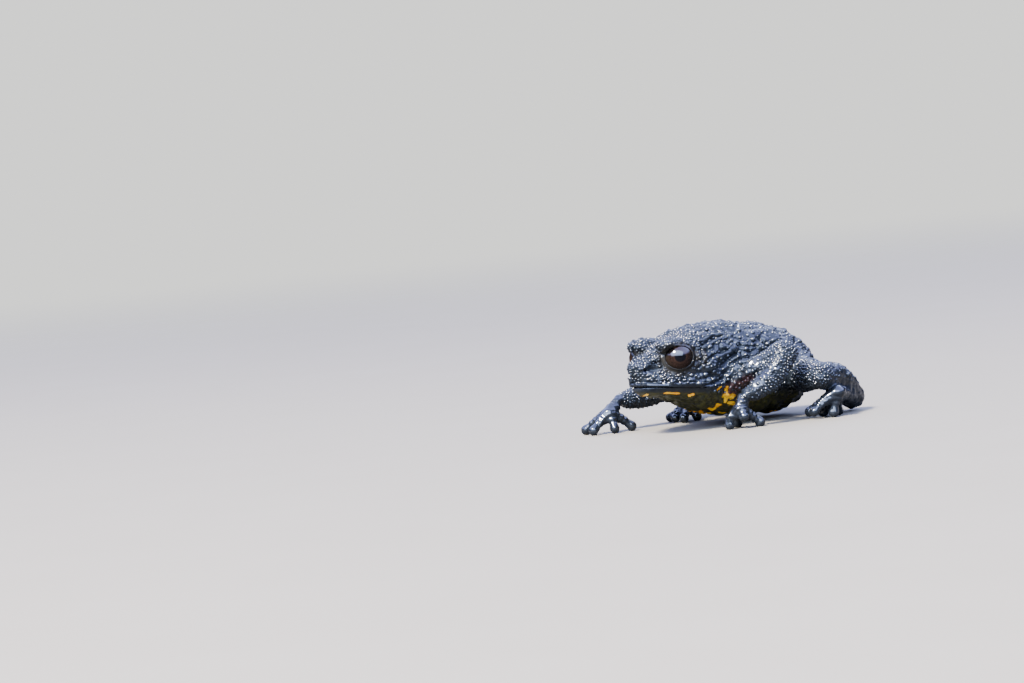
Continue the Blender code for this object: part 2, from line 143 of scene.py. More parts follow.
class Wire:
    """One socket of a node tree, usable in sums and products."""

    def __init__(self, board, socket):
        self.board, self.socket = board, socket

    __add__ = __radd__ = operator("ADD")
    __sub__, __rsub__ = operator("SUBTRACT"), operator("SUBTRACT", swapped=True)
    __mul__ = __rmul__ = operator("MULTIPLY")
    __truediv__, __rtruediv__ = operator("DIVIDE"), operator("DIVIDE", swapped=True)
    __pow__, above, below = operator("POWER"), operator("MAXIMUM"), operator("MINIMUM")

    def step(self, start, end):
        """0 before start, 1 after end, and a smooth rise between them."""
        return self.board.add("ShaderNodeMapRange", {"Value": self, "From Min": start, "From Max": end},
                              interpolation_type="SMOOTHSTEP")

    def beside(self, key):
        """Another output of the same node."""
        return Wire(self.board, self.socket.node.outputs[key])


class Board:
    """A node tree that nodes are added to by type."""

    def __init__(self, tree):
        self.tree = tree

    def feed(self, sockets, values):
        """Links or sets sockets by their names or numbers."""
        for key, value in values.items():
            if isinstance(value, Wire):
                self.tree.links.new(value.socket, sockets[key])
            else:
                sockets[key].default_value = value

    def add(self, kind, inputs=None, output=0, **settings):
        node = self.tree.nodes.new(kind)
        for name, value in settings.items():
            setattr(node, name, value)
        self.feed(node.inputs, inputs or {})
        return Wire(self, node.outputs[output])

    def blend(self, share, first, second, mode="MIX"):
        """Two colours mixed by a share from 0 to 1."""
        ends = [(*c, 1) if isinstance(c, tuple) else c for c in (first, second)]
        return self.add("ShaderNodeMix", {"Factor": share, 6: ends[0], 7: ends[1]}, 2,
                        data_type="RGBA", blend_type=mode)


def new_material(name):
    """A new material, its board and the sockets of its shader."""
    material = bpy.data.materials.new(name)
    material.use_nodes = True
    return material, Board(material.node_tree), material.node_tree.nodes["Principled BSDF"].inputs


# %% [markdown]
# Every curve of the body is drawn from a few knots. A monotone cubic runs through them without
# overshooting, so a belly that is level stays level. A plain spline would wave between the knots.

# %% Curves through a few knots


def smooth_line(knots):
    place, value = np.array(knots, float).T
    step = np.diff(place)
    slope = np.diff(value) / step
    tangent = np.zeros(len(place))
    tangent[0], tangent[-1] = slope[0], slope[-1]
    for i in range(1, len(place) - 1):
        if slope[i - 1] * slope[i] > 0:
            tangent[i] = 2 * slope[i - 1] * slope[i] / (slope[i - 1] + slope[i])

    def at(x):
        i = np.clip(np.searchsorted(place, x) - 1, 0, len(step) - 1)
        t = np.clip((x - place[i]) / step[i], 0, 1)
        a, b = (2 * t - 3) * t * t + 1, (3 - 2 * t) * t * t
        c, d = ((t - 2) * t + 1) * t, (t - 1) * t * t
        return a * value[i] + b * value[i + 1] + step[i] * (c * tangent[i] + d * tangent[i + 1])

    return at


LENGTH = 24.3
back = smooth_line(((0.0, 6.9), (0.6, 7.4), (1.2, 7.8), (2.0, 8.25), (3.0, 8.75), (5.0, 9.6), (6.4, 10.15),
                    (8.5, 10.3), (11.5, 10.2), (16.5, 9.5), (19.5, 8.7), (22.0, 7.5), (23.5, 6.1),
                    (LENGTH, 4.8)))
belly = smooth_line(((0.0, 5.2), (0.3, 4.45), (0.9, 3.95), (3.5, 3.55), (5.5, 3.0), (7.5, 2.0), (10.5, 1.2),
                     (15.0, 0.8), (19.0, 0.7), (22.0, 1.5), (23.5, 2.8), (LENGTH, 4.0)))
half_width = smooth_line(((0.0, 0.95), (0.9, 1.8), (2.2, 2.66), (4.0, 3.4), (6.6, 4.1), (8.5, 4.1),
                          (11.5, 4.7), (15.5, 5.1), (19.0, 4.7), (21.5, 3.7), (23.3, 2.1), (LENGTH, 0.6)))
widest = smooth_line(((0.0, 5.8), (3.0, 5.6), (7.0, 5.3), (14.0, 4.8), (LENGTH, 4.4)))
MOUTH_FRONT, MOUTH_SLOPE, MOUTH_CORNER = 5.03, -0.12, 6.7


def mouth_level(y):
    return MOUTH_FRONT + MOUTH_SLOPE * y


print("the mouth's line falls from", MOUTH_FRONT, "to", round(mouth_level(MOUTH_CORNER), 2), "mm")

# %% [markdown]
# Soft bodies grow well out of simple closed forms that overlap: a lofted trunk, ellipsoids for brows and
# cheeks, and round tubes for ridges and limbs. Each is only rough, because a later step melts them
# together.

# %% Closed forms


def object_from(bm, name):
    mesh = bpy.data.meshes.new(name)
    bm.to_mesh(mesh)
    bm.free()
    made = bpy.data.objects.new(name, mesh)
    bpy.context.scene.collection.objects.link(made)
    return made


def plain_mesh(obj):
    """Applies the object's modifiers to its mesh."""
    graph = bpy.context.evaluated_depsgraph_get()
    mesh = bpy.data.meshes.new_from_object(obj.evaluated_get(graph))
    obj.modifiers.clear()
    obj.data = mesh


def stitched(rings):
    """A closed skin over rings of points."""
    bm = bmesh.new()
    rows = [[bm.verts.new(p) for p in ring] for ring in rings]
    for row, following in zip(rows, rows[1:]):
        for i in range(len(row)):
            bm.faces.new((row[i - 1], row[i], following[i], following[i - 1]))
    bm.faces.new(reversed(rows[0]))
    bm.faces.new(rows[-1])
    bmesh.ops.recalc_face_normals(bm, faces=bm.faces)
    return object_from(bm, "form")


def ball(centre, radii, turn=(0, 0, 0)):
    bm = bmesh.new()
    bmesh.ops.create_icosphere(bm, subdivisions=4, radius=1)
    rotation = Matrix.Identity(4)
    for axis, angle in zip("XYZ", turn):
        rotation = Matrix.Rotation(math.radians(angle), 4, axis) @ rotation
    bm.transform(Matrix.Translation(centre) @ rotation @ Matrix.Diagonal((*radii, 1)))
    return object_from(bm, "form")


def tube(points, radii, steps=7, sides=20):
    """A round run through points with ball ends."""
    places = np.arange(len(points), dtype=float)
    lines = [smooth_line(list(zip(places, values))) for values in (*zip(*points), radii)]
    samples = np.linspace(0, len(points) - 1, (len(points) - 1) * steps + 1)
    rows = [(Vector([line(t) for line in lines[:3]]), float(lines[3](t))) for t in samples]
    rings = []
    side = None
    for i, (point, radius) in enumerate(rows):
        along = (rows[min(i + 1, len(rows) - 1)][0] - rows[max(i - 1, 0)][0]).normalized()
        side = along.orthogonal() if side is None else side - along * side.dot(along)
        side.normalize()
        turns = (math.tau * k / sides for k in range(sides))
        rings.append([point + radius * (side * math.cos(a) + along.cross(side) * math.sin(a)) for a in turns])
    ends = [ball(points[i], (radii[i],) * 3) for i in (0, -1)]
    return [stitched(rings), *ends]


def on_side(point, side):
    return Vector((side * point[0], point[1], point[2]))


# %% [markdown]
# The head and trunk come from one loft of rounded sections. On it sit the lids, the brows that roof the
# eyes, the ridges from brow to nostril, the lips and the cheeks, always in pairs.

# %% Head and trunk
SECTIONS, SECTION_POWER = 64, 2.5
SNOUT_TAPER = 0.27
SNOUT_END, CHIN_END = ((0, 0.5, 6.75), (1.4, 0.85, 0.75)), ((0, 1.0, 4.8), (1.55, 0.95, 0.8))
CHEEK_CENTRE, CHEEK_RADII = (3.2, 6.8, 6.2), (1.15, 1.6, 1.5)
LID_THICKNESS, LID_SQUASH = 0.32, 0.94
BROW_CENTRE, BROW_RADII = Vector((2.22, 3.85, 8.66)), (1.3, 2.35, 0.85)
BROW_TILT, BROW_DROOP, BROW_TURN = -5, 12, 5
CANTHUS = ((1.52, 2.1, 7.85), (1.26, 1.35, 7.47), (1.14, 0.7, 7.07), (1.1, 0.3, 6.7))
CANTHUS_RADII = (0.34, 0.29, 0.27, 0.28)
LIP_LINE = ((0.0, 0.6), (1.05, 0.9), (2.05, 1.8), (3.1, 3.4), (3.75, 5.4), (4.0, MOUTH_CORNER))
LIP_RADIUS, LIP_ABOVE_MOUTH = 0.3, 0.42


def section(y, count=48):
    """A rounded section of the trunk, which narrows upward on the snout."""
    ring = []
    taper = SNOUT_TAPER * min(max((5 - y) / 2.5, 0), 1)
    for i in range(count):
        c, s = math.cos(math.tau * i / count), math.sin(math.tau * i / count)
        reach = back(y) - widest(y) if s > 0 else widest(y) - belly(y)
        narrow = 1 - taper * max(s, 0) ** 0.5
        ring.append((narrow * half_width(y) * math.copysign(abs(c) ** (2 / SECTION_POWER), c), y,
                     widest(y) + reach * math.copysign(abs(s) ** (2 / SECTION_POWER), s)))
    return ring


def head_and_trunk():
    spread = [LENGTH * (1 - math.cos(math.pi * i / SECTIONS)) / 2 for i in range(SECTIONS + 1)]
    forms = [stitched([section(y) for y in spread]), ball(*SNOUT_END), ball(*CHIN_END)]
    lid = EYE_RADIUS + LID_THICKNESS
    lip = [(x, y, mouth_level(y) + LIP_ABOVE_MOUTH) for x, y in LIP_LINE]
    for side in (1, -1):
        forms.append(ball(on_side(EYE_CENTRE, side), (lid, lid, lid * LID_SQUASH)))
        turn = (BROW_TILT, side * BROW_DROOP, -side * BROW_TURN)
        forms.append(ball(on_side(BROW_CENTRE, side), BROW_RADII, turn))
        forms += tube([on_side(p, side) for p in CANTHUS], CANTHUS_RADII)
        forms += tube([on_side(p, side) for p in lip], (LIP_RADIUS,) * len(lip))
        forms.append(ball(on_side(CHEEK_CENTRE, side), CHEEK_RADII))
    return forms


# %% [markdown]
# The limbs are tubes from joint to joint. The joints, digits and radii are those of the solids, so the skin
# fits the frame. Each digit is thick at its root, waisted before its tip and ends in a round knob, and
# short webs join the roots of neighbours.

# %% Limbs
ARMS = {1: ((3.4, 9.4, 4.4), (8.5, 12.5, 6.85), (6.8, 7.9, 3.0), (6.7, 7.4, 1.9)),
        -1: ((-3.4, 9.4, 4.4), (-8.0, 12.2, 3.9), (-9.2, 6.4, 3.2), (-9.1, 4.9, 2.0))}
LEGS = {1: ((2.6, 19.4, 4.4), (10.3, 15.4, 4.25), (7.8, 22.6, 1.5), (11.2, 16.7, 2.45)),
        -1: ((-2.6, 19.4, 4.4), (-10.2, 15.6, 4.2), (-7.8, 22.8, 1.6), (-8.6, 16.4, 1.9))}
# Each digit is its tip and how far its knuckle bows outward
FINGERS = {1: ((5.9, 6.6, 0.45, 0.45), (7.4, 7.1, 1.2, 0.1), (7.6, 9.1, 0.45, 0.1), (5.2, 8.4, 0.45, 0.2)),
           -1: ((-11.3, 3.6, 0.5, 0.2), (-9.5, 2.9, 0.5, 0.1), (-8.2, 4.6, 0.5, 0.1), (-7.9, 6.7, 0.5, 0.2))}
TOES = {1: ((11.0, 16.2, 0.5, 0.0), (10.0, 14.5, 0.8, 0.2), (8.7, 15.2, 0.7, 0.2), (8.9, 17.0, 0.45, 0.1),
            (9.9, 18.1, 0.45, 0.1)),
        -1: ((-6.85, 13.3, 0.5, 0.1), (-8.3, 13.5, 0.5, 0.1), (-9.7, 14.2, 0.5, 0.1), (-6.9, 15.2, 0.45, 0.1),
             (-10.2, 16.2, 0.45, 0.1))}
ARM_RADII, FOREARM_RADII, WRIST_RADII = (1.4, 1.15, 1.3), (1.4, 1.3, 1.08, 0.62), (0.62, 0.7)
THIGH_RADII, CALF_RADII, TARSUS_RADII = (1.9, 1.8, 1.35), (1.35, 1.5, 1.48), (1.4, 0.9, 0.75)
DIGIT_RADII, PALM_RADII, SOLE_RADII = (0.68, 0.52, 0.45, 0.54), (0.9, 0.9, 0.65), (0.85, 0.9, 0.6)
FOREARM_SAG, CALF_RISE = 0.35, 0.9
WEB_SPAN, WEB_REACH, WEB_RADIUS = 3.2, 0.42, 0.42


def digits(base, tips):
    forms = []
    ordered = sorted(tips, key=lambda tip: -math.atan2(tip[0] - base.x, tip[1] - base.y))
    for pair in zip(ordered, ordered[1:]):
        if math.dist(*(tip[:2] for tip in pair)) < WEB_SPAN:
            forms += tube([base.lerp(Vector(tip[:3]), WEB_REACH) for tip in pair], (WEB_RADIUS,) * 2)
    for x, y, z, bow in tips:
        tip = Vector((x, y, z))
        out = Vector((x - base.x, y - base.y, 0)).normalized() * bow
        run = [base.lerp(tip, 0.2), base.lerp(tip, 0.5) + out, base.lerp(tip, 0.82) + out / 2, tip]
        forms += tube(run, DIGIT_RADII)
    return forms


def arm(side):
    shoulder, elbow, wrist, palm = (Vector(p) for p in ARMS[side])
    sag = FOREARM_SAG * Vector((side, 1, -1))
    run = [elbow, elbow.lerp(wrist, 0.4) + sag, elbow.lerp(wrist, 0.75) + sag * 0.8, wrist]
    return (tube([shoulder, shoulder.lerp(elbow, 0.5), elbow], ARM_RADII) + tube(run, FOREARM_RADII)
            + tube([wrist, palm], WRIST_RADII) + [ball(palm, PALM_RADII)] + digits(palm, FINGERS[side]))


def leg(side):
    hip, knee, heel, sole = (Vector(p) for p in LEGS[side])
    calf = knee.lerp(heel, 0.5) + Vector((0, 0, CALF_RISE))
    return (tube([hip, hip.lerp(knee, 0.5), knee], THIGH_RADII) + tube([knee, calf, heel], CALF_RADII)
            + tube([heel, heel.lerp(sole, 0.5), sole], TARSUS_RADII)
            + [ball(sole, SOLE_RADII)] + digits(sole, TOES[side]))


forms = head_and_trunk() + arm(1) + arm(-1) + leg(1) + leg(-1)
print("closed forms:", len(forms))

# %% [markdown]
# A voxel remesh turns the pile of forms into one skin of even quads. It is the quickest way to one closed
# surface with no seam at any joint. Some smoothing then melts the creases, less on the digits, which would
# grow thin. The skin is then drawn in by the height that warts and granules will add.

# %% One skin over all the forms
VOXEL = 0.125
SOFTENING, DIGIT_SOFTENING = 9, 0.3
INSET = 0.16


def along_limb(points, line):
    """How far each point is from the nearest stretch of a line through joints."""
    best = np.full(len(points), np.inf)
    for a, b in zip(line, line[1:]):
        a, b = np.array(a), np.array(b)
        t = np.clip(((points - a) @ (b - a)) / ((b - a) @ (b - a)), 0, 1)
        best = np.minimum(best, np.linalg.norm(points - a - t[:, None] * (b - a), axis=1))
    return best


def ramp(value, start, end):
    """0 before start, 1 after end, smooth between, for whole arrays."""
    t = np.clip((value - start) / (end - start), 0, 1)
    return t * t * (3 - 2 * t)


def on_digits(points):
    """1 on hands and feet, 0 elsewhere."""
    rays = [(limbs[side][3], tip[:3]) for limbs, tips in ((ARMS, FINGERS), (LEGS, TOES)) for side in (1, -1)
            for tip in tips[side]]
    return 1 - ramp(np.min([along_limb(points, ray) for ray in rays], 0), 0.9, 1.3)


def read(items, name, width=3, kind=np.float32):
    """One property of many items, such as the place of every point, in rows of numbers."""
    values = np.empty(len(items) * width, kind)
    items.foreach_get(name, values)
    return values.reshape(-1, width)


def points_of(mesh):
    return read(mesh.vertices, "co").astype(float)


def normals_of(mesh):
    return read(mesh.vertex_normals, "vector").astype(float)


def set_points(mesh, points):
    mesh.vertices.foreach_set("co", points.ravel())
    mesh.update()


bpy.ops.object.select_all(action="DESELECT")
for form in forms:
    form.select_set(True)
bpy.context.view_layer.objects.active = skin = forms[0]
bpy.ops.object.join()
skin.name = "skin"
remesh = skin.modifiers.new("one skin", "REMESH")
remesh.mode, remesh.voxel_size = "VOXEL", VOXEL
plain_mesh(skin)
group = skin.vertex_groups.new(name="soft")
for i, weight in enumerate(1 - (1 - DIGIT_SOFTENING) * on_digits(points_of(skin.data))):
    group.add([i], weight, "REPLACE")
soften = skin.modifiers.new("soften", "SMOOTH")
soften.factor, soften.iterations, soften.vertex_group = 0.5, SOFTENING, "soft"
plain_mesh(skin)
skin.vertex_groups.clear()
points = points_of(skin.data)
set_points(skin.data, points - normals_of(skin.data) * (INSET * (1 - on_digits(points)))[:, None])
print("one skin:", len(skin.data.polygons), "faces")

# %% [markdown]
# Lids, lips and nostrils are finer than the voxels. Splitting only the faces round them into four gives
# those places four times the detail and leaves the rest light.

# %% Finer faces round the eyes and along the mouth


def finer_where(obj, wanted):
    """Splits the faces whose middle is wanted into four."""
    bm = bmesh.new()
    bm.from_mesh(obj.data)
    chosen = wanted(np.array([face.calc_center_median() for face in bm.faces]))
    edges = [edge for edge in bm.edges if any(chosen[face.index] for face in edge.link_faces)]
    bmesh.ops.subdivide_edges(bm, edges=edges, cuts=1, use_grid_fill=True)
    bm.to_mesh(obj.data)
    bm.free()


def from_point(points, place):
    return np.linalg.norm(points - np.array(place), axis=1)


def from_eyes(points):
    return np.min([from_point(points, on_side(EYE_CENTRE, side)) for side in (1, -1)], 0)


def face_detail(points):
    level = points[:, 2] - mouth_level(points[:, 1])
    mouth = (points[:, 1] < MOUTH_CORNER + 0.4) & (np.abs(level) < 0.6)
    nose = (points[:, 1] < 1.2) & (np.abs(points[:, 2] - 6.5) < 0.7)
    return mouth | nose | (from_eyes(points) < EYE_RADIUS + 0.75)


finer_where(skin, face_detail)
print("with the face refined:", len(skin.data.polygons), "faces")

# %% [markdown]
# Some marks were read from the photograph: where a fold runs, or where a pearl of skin shines. Each is kept
# as a pixel of that frame and cast from the camera onto the skin, so it sits on what carries it. Both sides
# of a toad carry alike marks, so each one is set on the far side too.

# %% From a pixel to a place on the skin
FOCAL_PIXELS = LENS / SENSOR * FRAME_WIDTH
camera_place = aim + toward * distance


def surface_of(mesh):
    return BVHTree.FromPolygons([v.co for v in mesh.vertices], [p.vertices for p in mesh.polygons])


def seen_at(surface, pixel):
    """The place of a pixel on the near side of the skin, and the way out of the skin there."""
    x, y = pixel
    ray = across * (x - FRAME_WIDTH / 2) - upward * (y - FRAME_HEIGHT / 2) - toward * FOCAL_PIXELS
    return surface.ray_cast(camera_place, ray.normalized())[:2]


def mirrored_on(surface, place):
    return surface.find_nearest(on_side(place, -1))[:2]


def on_both_sides(surface, pixels):
    """A line of pixels on the near side of the skin, and its twin on the far side."""
    line = [place for place, _ in (seen_at(surface, pixel) for pixel in pixels) if place]
    return line, [mirrored_on(surface, place)[0] for place in line]


# %% [markdown]
# The mouth is a crease, not a gap: the upper lip rolls out over it and the smooth lower jaw is set back.
# Moving points along their normals by a curve of the height above the mouth makes lip, crease and jaw in
# one go. The nostrils are pressed in the same way, with a little rim, and a shallow hollow runs back from
# each.

# %% Mouth and nostrils
CREASE_DEPTH, CREASE_WIDTH = 0.26, 0.075
LIP_ROLL, LIP_HEIGHT, LIP_WIDTH = 0.25, 0.21, 0.165
GROOVE_DEPTH, GROOVE_RISE, GROOVE_WIDTH = 0.1, 0.3, 0.09
JAW_SETBACK, JAW_WIDTH = 0.03, 0.26
NOSTRIL, NOSTRIL_RADIUS, NOSTRIL_DEPTH = Vector((1.3, 0.3, 6.5)), 0.22, 0.55
NOSTRIL_RIM, NOSTRIL_RIM_WIDTH = 0.08, 0.12
HOLLOW, HOLLOW_WIDTH, HOLLOW_DEPTH = ((646, 371.5), (651, 370.5), (657, 369)), 0.45, 0.1


def bump(distance, width):
    return np.exp(-(distance / width) ** 2)


points, normals = points_of(skin.data), normals_of(skin.data)
level = points[:, 2] - mouth_level(points[:, 1])
reach = 1 - ramp(points[:, 1], MOUTH_CORNER - 0.7, MOUTH_CORNER + 0.3)
lip = LIP_ROLL * (0.65 + 0.35 * ramp(points[:, 1], 0.3, 1.3))
lift = reach * (lip * bump(level - LIP_HEIGHT, LIP_WIDTH) - CREASE_DEPTH * bump(level, CREASE_WIDTH)
                - GROOVE_DEPTH * bump(level - LIP_HEIGHT - GROOVE_RISE, GROOVE_WIDTH)
                - JAW_SETBACK * bump(level + 0.3, JAW_WIDTH))
surface = surface_of(skin.data)
hollows = dict(zip((1, -1), on_both_sides(surface, HOLLOW)))
for side, line in hollows.items():
    away = from_point(points, surface.find_nearest(on_side(NOSTRIL, side))[0])
    lift += NOSTRIL_RIM * bump(away - 1.5 * NOSTRIL_RADIUS, NOSTRIL_RIM_WIDTH)
    lift -= NOSTRIL_DEPTH * bump(away, NOSTRIL_RADIUS)
    lift -= HOLLOW_DEPTH * bump(along_limb(points, line), HOLLOW_WIDTH)
set_points(skin.data, points + normals * lift[:, None])
print("the lip rolls out by", round(lift.max(), 2), "mm, the nostrils go in by", round(-lift.min(), 2), "mm")

# %% [markdown]
# What the skin is like differs from place to place. These masks say where, from 0 to 1, for any array of
# points: lids, lips, digits, underside, and the fine-grained and coarse-grained stretches between. The skin
# and everything set on it ask the same functions, so their markings agree.

# %% Masks of the body's regions
LID_WIDTH, LID_RISE, LID_DROP = 1.9, 1.28, 1.6
# Each bend with fine granules is a line from one joint towards another, as a share of the way, and a radius
FOREARM_BEND, KNEE_BEND = (0.55, 2.4), (0.3, 2.0)


def either_side(mask):
    return np.maximum(mask(1), mask(-1))


def in_eye_frame(points, side):
    """Each point's level, upright and axial distance from an eye's centre."""
    axis = on_side(EYE_AXIS, side)
    level = Vector((0, 0, 1)).cross(axis).normalized()
    off = points - np.array(on_side(EYE_CENTRE, side))
    return [off @ np.array(v) for v in (level, axis.cross(level), axis)]


def lid_oval(level, rise):
    """1 on the lids' outer edge, which lies closer above the eye than below."""
    return np.hypot(level / LID_WIDTH, rise / np.where(rise > 0, LID_RISE, LID_DROP))


def nearest_oval(points):
    return np.min([lid_oval(*in_eye_frame(points, side)[:2]) for side in (1, -1)], 0)


def on_lids(points):
    def of_eye(side):
        level, rise, along = in_eye_frame(points, side)
        far = np.sqrt(level ** 2 + rise ** 2 + along ** 2)
        in_oval = 1 - ramp(lid_oval(level, rise), 0.92, 1.1)
        return in_oval * ramp(along, -0.2, 0.2) * (1 - ramp(far, 2.3, 2.6))

    return either_side(of_eye)


def on_lips(points):
    level = points[:, 2] - mouth_level(points[:, 1])
    return (1 - ramp(points[:, 1], 6.3, 7.0)) * ramp(level, -1.1, -0.75) * (1 - ramp(level, 0.33, 0.46))


def past_flank(points):
    """How far out of the trunk's half width each point lies, below 0 in the trunk."""
    return np.abs(points[:, 0]) - half_width(np.clip(points[:, 1], 0, LENGTH))


def under(points):
    """1 on the belly and throat, 0 on the back and the limbs."""
    along = np.clip(points[:, 1], 0, LENGTH)
    low = np.where(along < 9, mouth_level(along) - 0.5, widest(along) - 2.0)
    soft = 0.15 + 0.45 * ramp(along, 5.5, 9)
    return (1 - ramp((points[:, 2] - low) / soft, -1, 1)) * (1 - ramp(past_flank(points), 0.1, 0.6))


def fine_grained(points):
    """The brow, the crown, the snout, the forearm and the outer bend of the knee."""
    crown = (1 - ramp(points[:, 1], 5.6, 7.4)) * ramp(points[:, 2] - mouth_level(points[:, 1]), 0.5, 0.7)

    def bends(side):
        found = []
        bent = ((ARMS[side][1:3], FOREARM_BEND), (LEGS[side][1::-1], KNEE_BEND))
        for (start, end), (share, radius) in bent:
            away = along_limb(points, (start, Vector(start).lerp(Vector(end), share)))
            found.append(1 - ramp(away, radius - 0.6, radius + 0.4))
        return np.max(found, 0)

    return np.maximum(crown, np.where(past_flank(points) < 0.2, 0, either_side(bends)))


print("on the lids:", int((on_lids(points_of(skin.data)) > 0.5).sum()), "points of the skin")

# %% [markdown]
# Single pearls of skin shine behind the eye, along the jaw and on the arm. Their seats are read from the
# photograph before anything grows, because the skin round a large pearl stays bare.

# %% Seats for the pearls
PEARL_RIM, LARGE_PEARL = 0.15, 0.16
# Each pearl is a pixel of the frame and a radius in millimetres
PEARLS = ((691.5, 375.5, 0.25), (698.5, 377.5, 0.26), (706, 375, 0.3), (713.5, 372, 0.25), (713, 379.5, 0.22),
          (699, 369.5, 0.2), (704, 366, 0.2), (714.5, 365.5, 0.22), (700, 363.5, 0.16), (705, 355, 0.2),
          (719, 352.5, 0.2), (713.5, 359, 0.19), (722, 361, 0.17), (736, 352.5, 0.2), (731.5, 340, 0.22),
          (747, 373, 0.27), (758, 383.5, 0.19), (757.5, 389, 0.19), (761, 378, 0.18), (750, 367, 0.2),
          (754, 364, 0.2), (758, 360, 0.17), (753, 371, 0.18), (766, 373, 0.17), (771, 378, 0.16),
          (674, 380.5, 0.15), (679, 380, 0.14), (684, 380.5, 0.15), (668, 379.5, 0.14), (663, 379, 0.13),
          (663, 372, 0.14), (665.5, 368, 0.14), (660, 366, 0.13), (642, 369, 0.15), (776, 366, 0.17),
          (763, 396, 0.15), (745, 360, 0.2), (740, 377, 0.18), (735, 383, 0.17), (728, 366, 0.17),
          (727, 356, 0.18))

surface = surface_of(skin.data)
seats = [(seen_at(surface, (x, y))[0], radius) for x, y, radius in PEARLS]
seats = [(place, radius) for place, radius in seats if place]
seats += [(mirrored_on(surface, place)[0], radius) for place, radius in seats]
print("seats for pearls:", len(seats))


def near_pearls(points):
    """1 close to a large pearl."""
    return np.max([1 - ramp(from_point(points, place), radius + PEARL_RIM, radius + 2.5 * PEARL_RIM)
                   for place, radius in seats if radius > LARGE_PEARL], 0)


# %% [markdown]
# The back is covered with low rounded warts of very unequal size, which run together in places and make the
# outline scalloped. They are grown in the skin itself: a seeded scatter picks places that keep their
# distance, and each lifts the points round it into a dome. Domes set on top would look glued on at this
# size.

# %% Warts grown in the skin
TRIES, CELL = 60000, 1.5


def warty(points):
    """Where warts and granules may grow, and how thickly."""
    def beside_nose(side):
        from_nostril = from_point(points, on_side(NOSTRIL, side))
        return np.maximum(1 - ramp(along_limb(points, hollows[side]), 0.26, 0.46),
                          1 - ramp(from_nostril, 0.38, 0.56))

    bare = np.maximum.reduce([on_digits(points), on_lids(points), on_lips(points), either_side(beside_nose),
                              0.95 * under(points), 0.9 * near_pearls(points)])
    shank = either_side(lambda side: 1 - ramp(along_limb(points, LEGS[side][2:]), 1.3, 1.7))
    return (1 - bare) * (1 - 0.85 * shank)


def scatter(mesh, spacing, share, draw):
    """Seeded places on a mesh that keep spacing(place) apart, each kept with the chance share(places)."""
    mesh.calc_loop_triangles()
    triangles = np.array([t.vertices for t in mesh.loop_triangles])
    a, b, c = (points_of(mesh)[triangles[:, i]] for i in range(3))
    cross = np.cross(b - a, c - a)
    area = np.linalg.norm(cross, axis=1)
    pick = draw.choice(len(area), TRIES, p=area / area.sum())
    u, v = np.sort(draw.random((2, TRIES)), axis=0)
    places = a[pick] * u[:, None] + b[pick] * (v - u)[:, None] + c[pick] * (1 - v)[:, None]
    outward = cross[pick] / area[pick][:, None]
    wanted = draw.random(TRIES) < share(places)
    kept, cells = [], {}
    for place, out in zip(places[wanted], outward[wanted]):
        apart = spacing(place)
        cell = tuple(int(v // CELL) for v in place)
        near = [q for x in (-1, 0, 1) for y in (-1, 0, 1) for z in (-1, 0, 1)
                for q in cells.get((cell[0] + x, cell[1] + y, cell[2] + z), ())]
        if all(math.dist(place, q) > apart for q in near):
            cells.setdefault(cell, []).append(place)
            kept.append((place, out))
    return kept


def grow(mesh, warts):
    """Lifts the skin into a dome at each (place, outward, radius, height, stretch, turn)."""
    points, normals = points_of(mesh), normals_of(mesh)
    tree = KDTree(len(points))
    for i, point in enumerate(points):
        tree.insert(point, i)
    tree.balance()
    lift = np.zeros(len(points))
    for place, out, radius, height, stretch, turn in warts:
        found = np.array([i for _, i, _ in tree.find_range(place, radius * max(stretch, 1))])
        if len(found) == 0:
            continue
        side = Vector(out).orthogonal().normalized()
        side = side * math.cos(turn) + Vector(out).cross(side) * math.sin(turn)
        off = points[found] - place
        run = off @ np.array(side)
        away = np.sqrt(np.maximum((off ** 2).sum(1) - run ** 2 + (run / stretch) ** 2, 0)) / radius
        dome = height * np.clip(1 - away ** 2, 0, 1) ** 1.3
        facing = normals[found] @ np.array(out) > 0.2
        merged = np.maximum(lift[found], dome) + 0.25 * np.minimum(lift[found], dome)
        lift[found] = np.where(facing, merged, lift[found])
    set_points(mesh, points + normals * lift[:, None])


def size_at(place):
    """Warts are small on the head and the limbs and largest on the rump."""
    trunk = abs(place[0]) < float(half_width(min(max(place[1], 0), LENGTH))) + 0.3
    return float(0.3 + 0.4 * ramp(np.array(place[1]), 5.5, 17)) if trunk else 0.3


draw = np.random.default_rng(24)
warts = []
for place, out in scatter(skin.data, lambda p: 1.75 * size_at(p) * (0.8 + 0.4 * draw.random()), warty, draw):
    radius = size_at(place) * (0.75 + 0.7 * draw.random() ** 2)
    flatter = 0.6 if abs(place[0]) > half_width(place[1]) + 0.4 else 1
    height = radius * (0.42 + 0.25 * draw.random()) * flatter
    warts.append((place, out, radius * 1.2, height, 1 + 0.5 * draw.random() ** 2, math.tau * draw.random()))
grow(skin.data, warts)
print("warts in the skin:", len(warts))

# %% [markdown]
# The eye sockets are cut into the grown skin, so that the lids keep a clean edge. The eye's own shape, a
# hair larger, makes the socket. A cone that widens outward opens the lids over it, so that they slope to a
# thin rim, as real lids do. A few rounds of local smoothing take the saw-cut look off the rim.

# %% Sockets and lids
SOCKET_CLEARANCE = 0.04
CORNEA_BULGE = 1.05
OPENING_WIDTH, OPENING_RISE, OPENING_DROP = 1.16, 0.72, 0.84
FUNNEL_START, FUNNEL_DEPTH, FLARE = 0.6, 2.0, 0.8
LID_POWER, RIM_ROUNDS = 2.6, 4


def toward_sight(side):
    """Places a form on an eye so that its Z points along the eye's axis and its X stays level."""
    axis = on_side(EYE_AXIS, side)
    level_x = Vector((0, 0, 1)).cross(axis).normalized()
    turn = Matrix((level_x, axis.cross(level_x), axis)).transposed().to_4x4()
    return Matrix.Translation(on_side(EYE_CENTRE, side)) @ turn


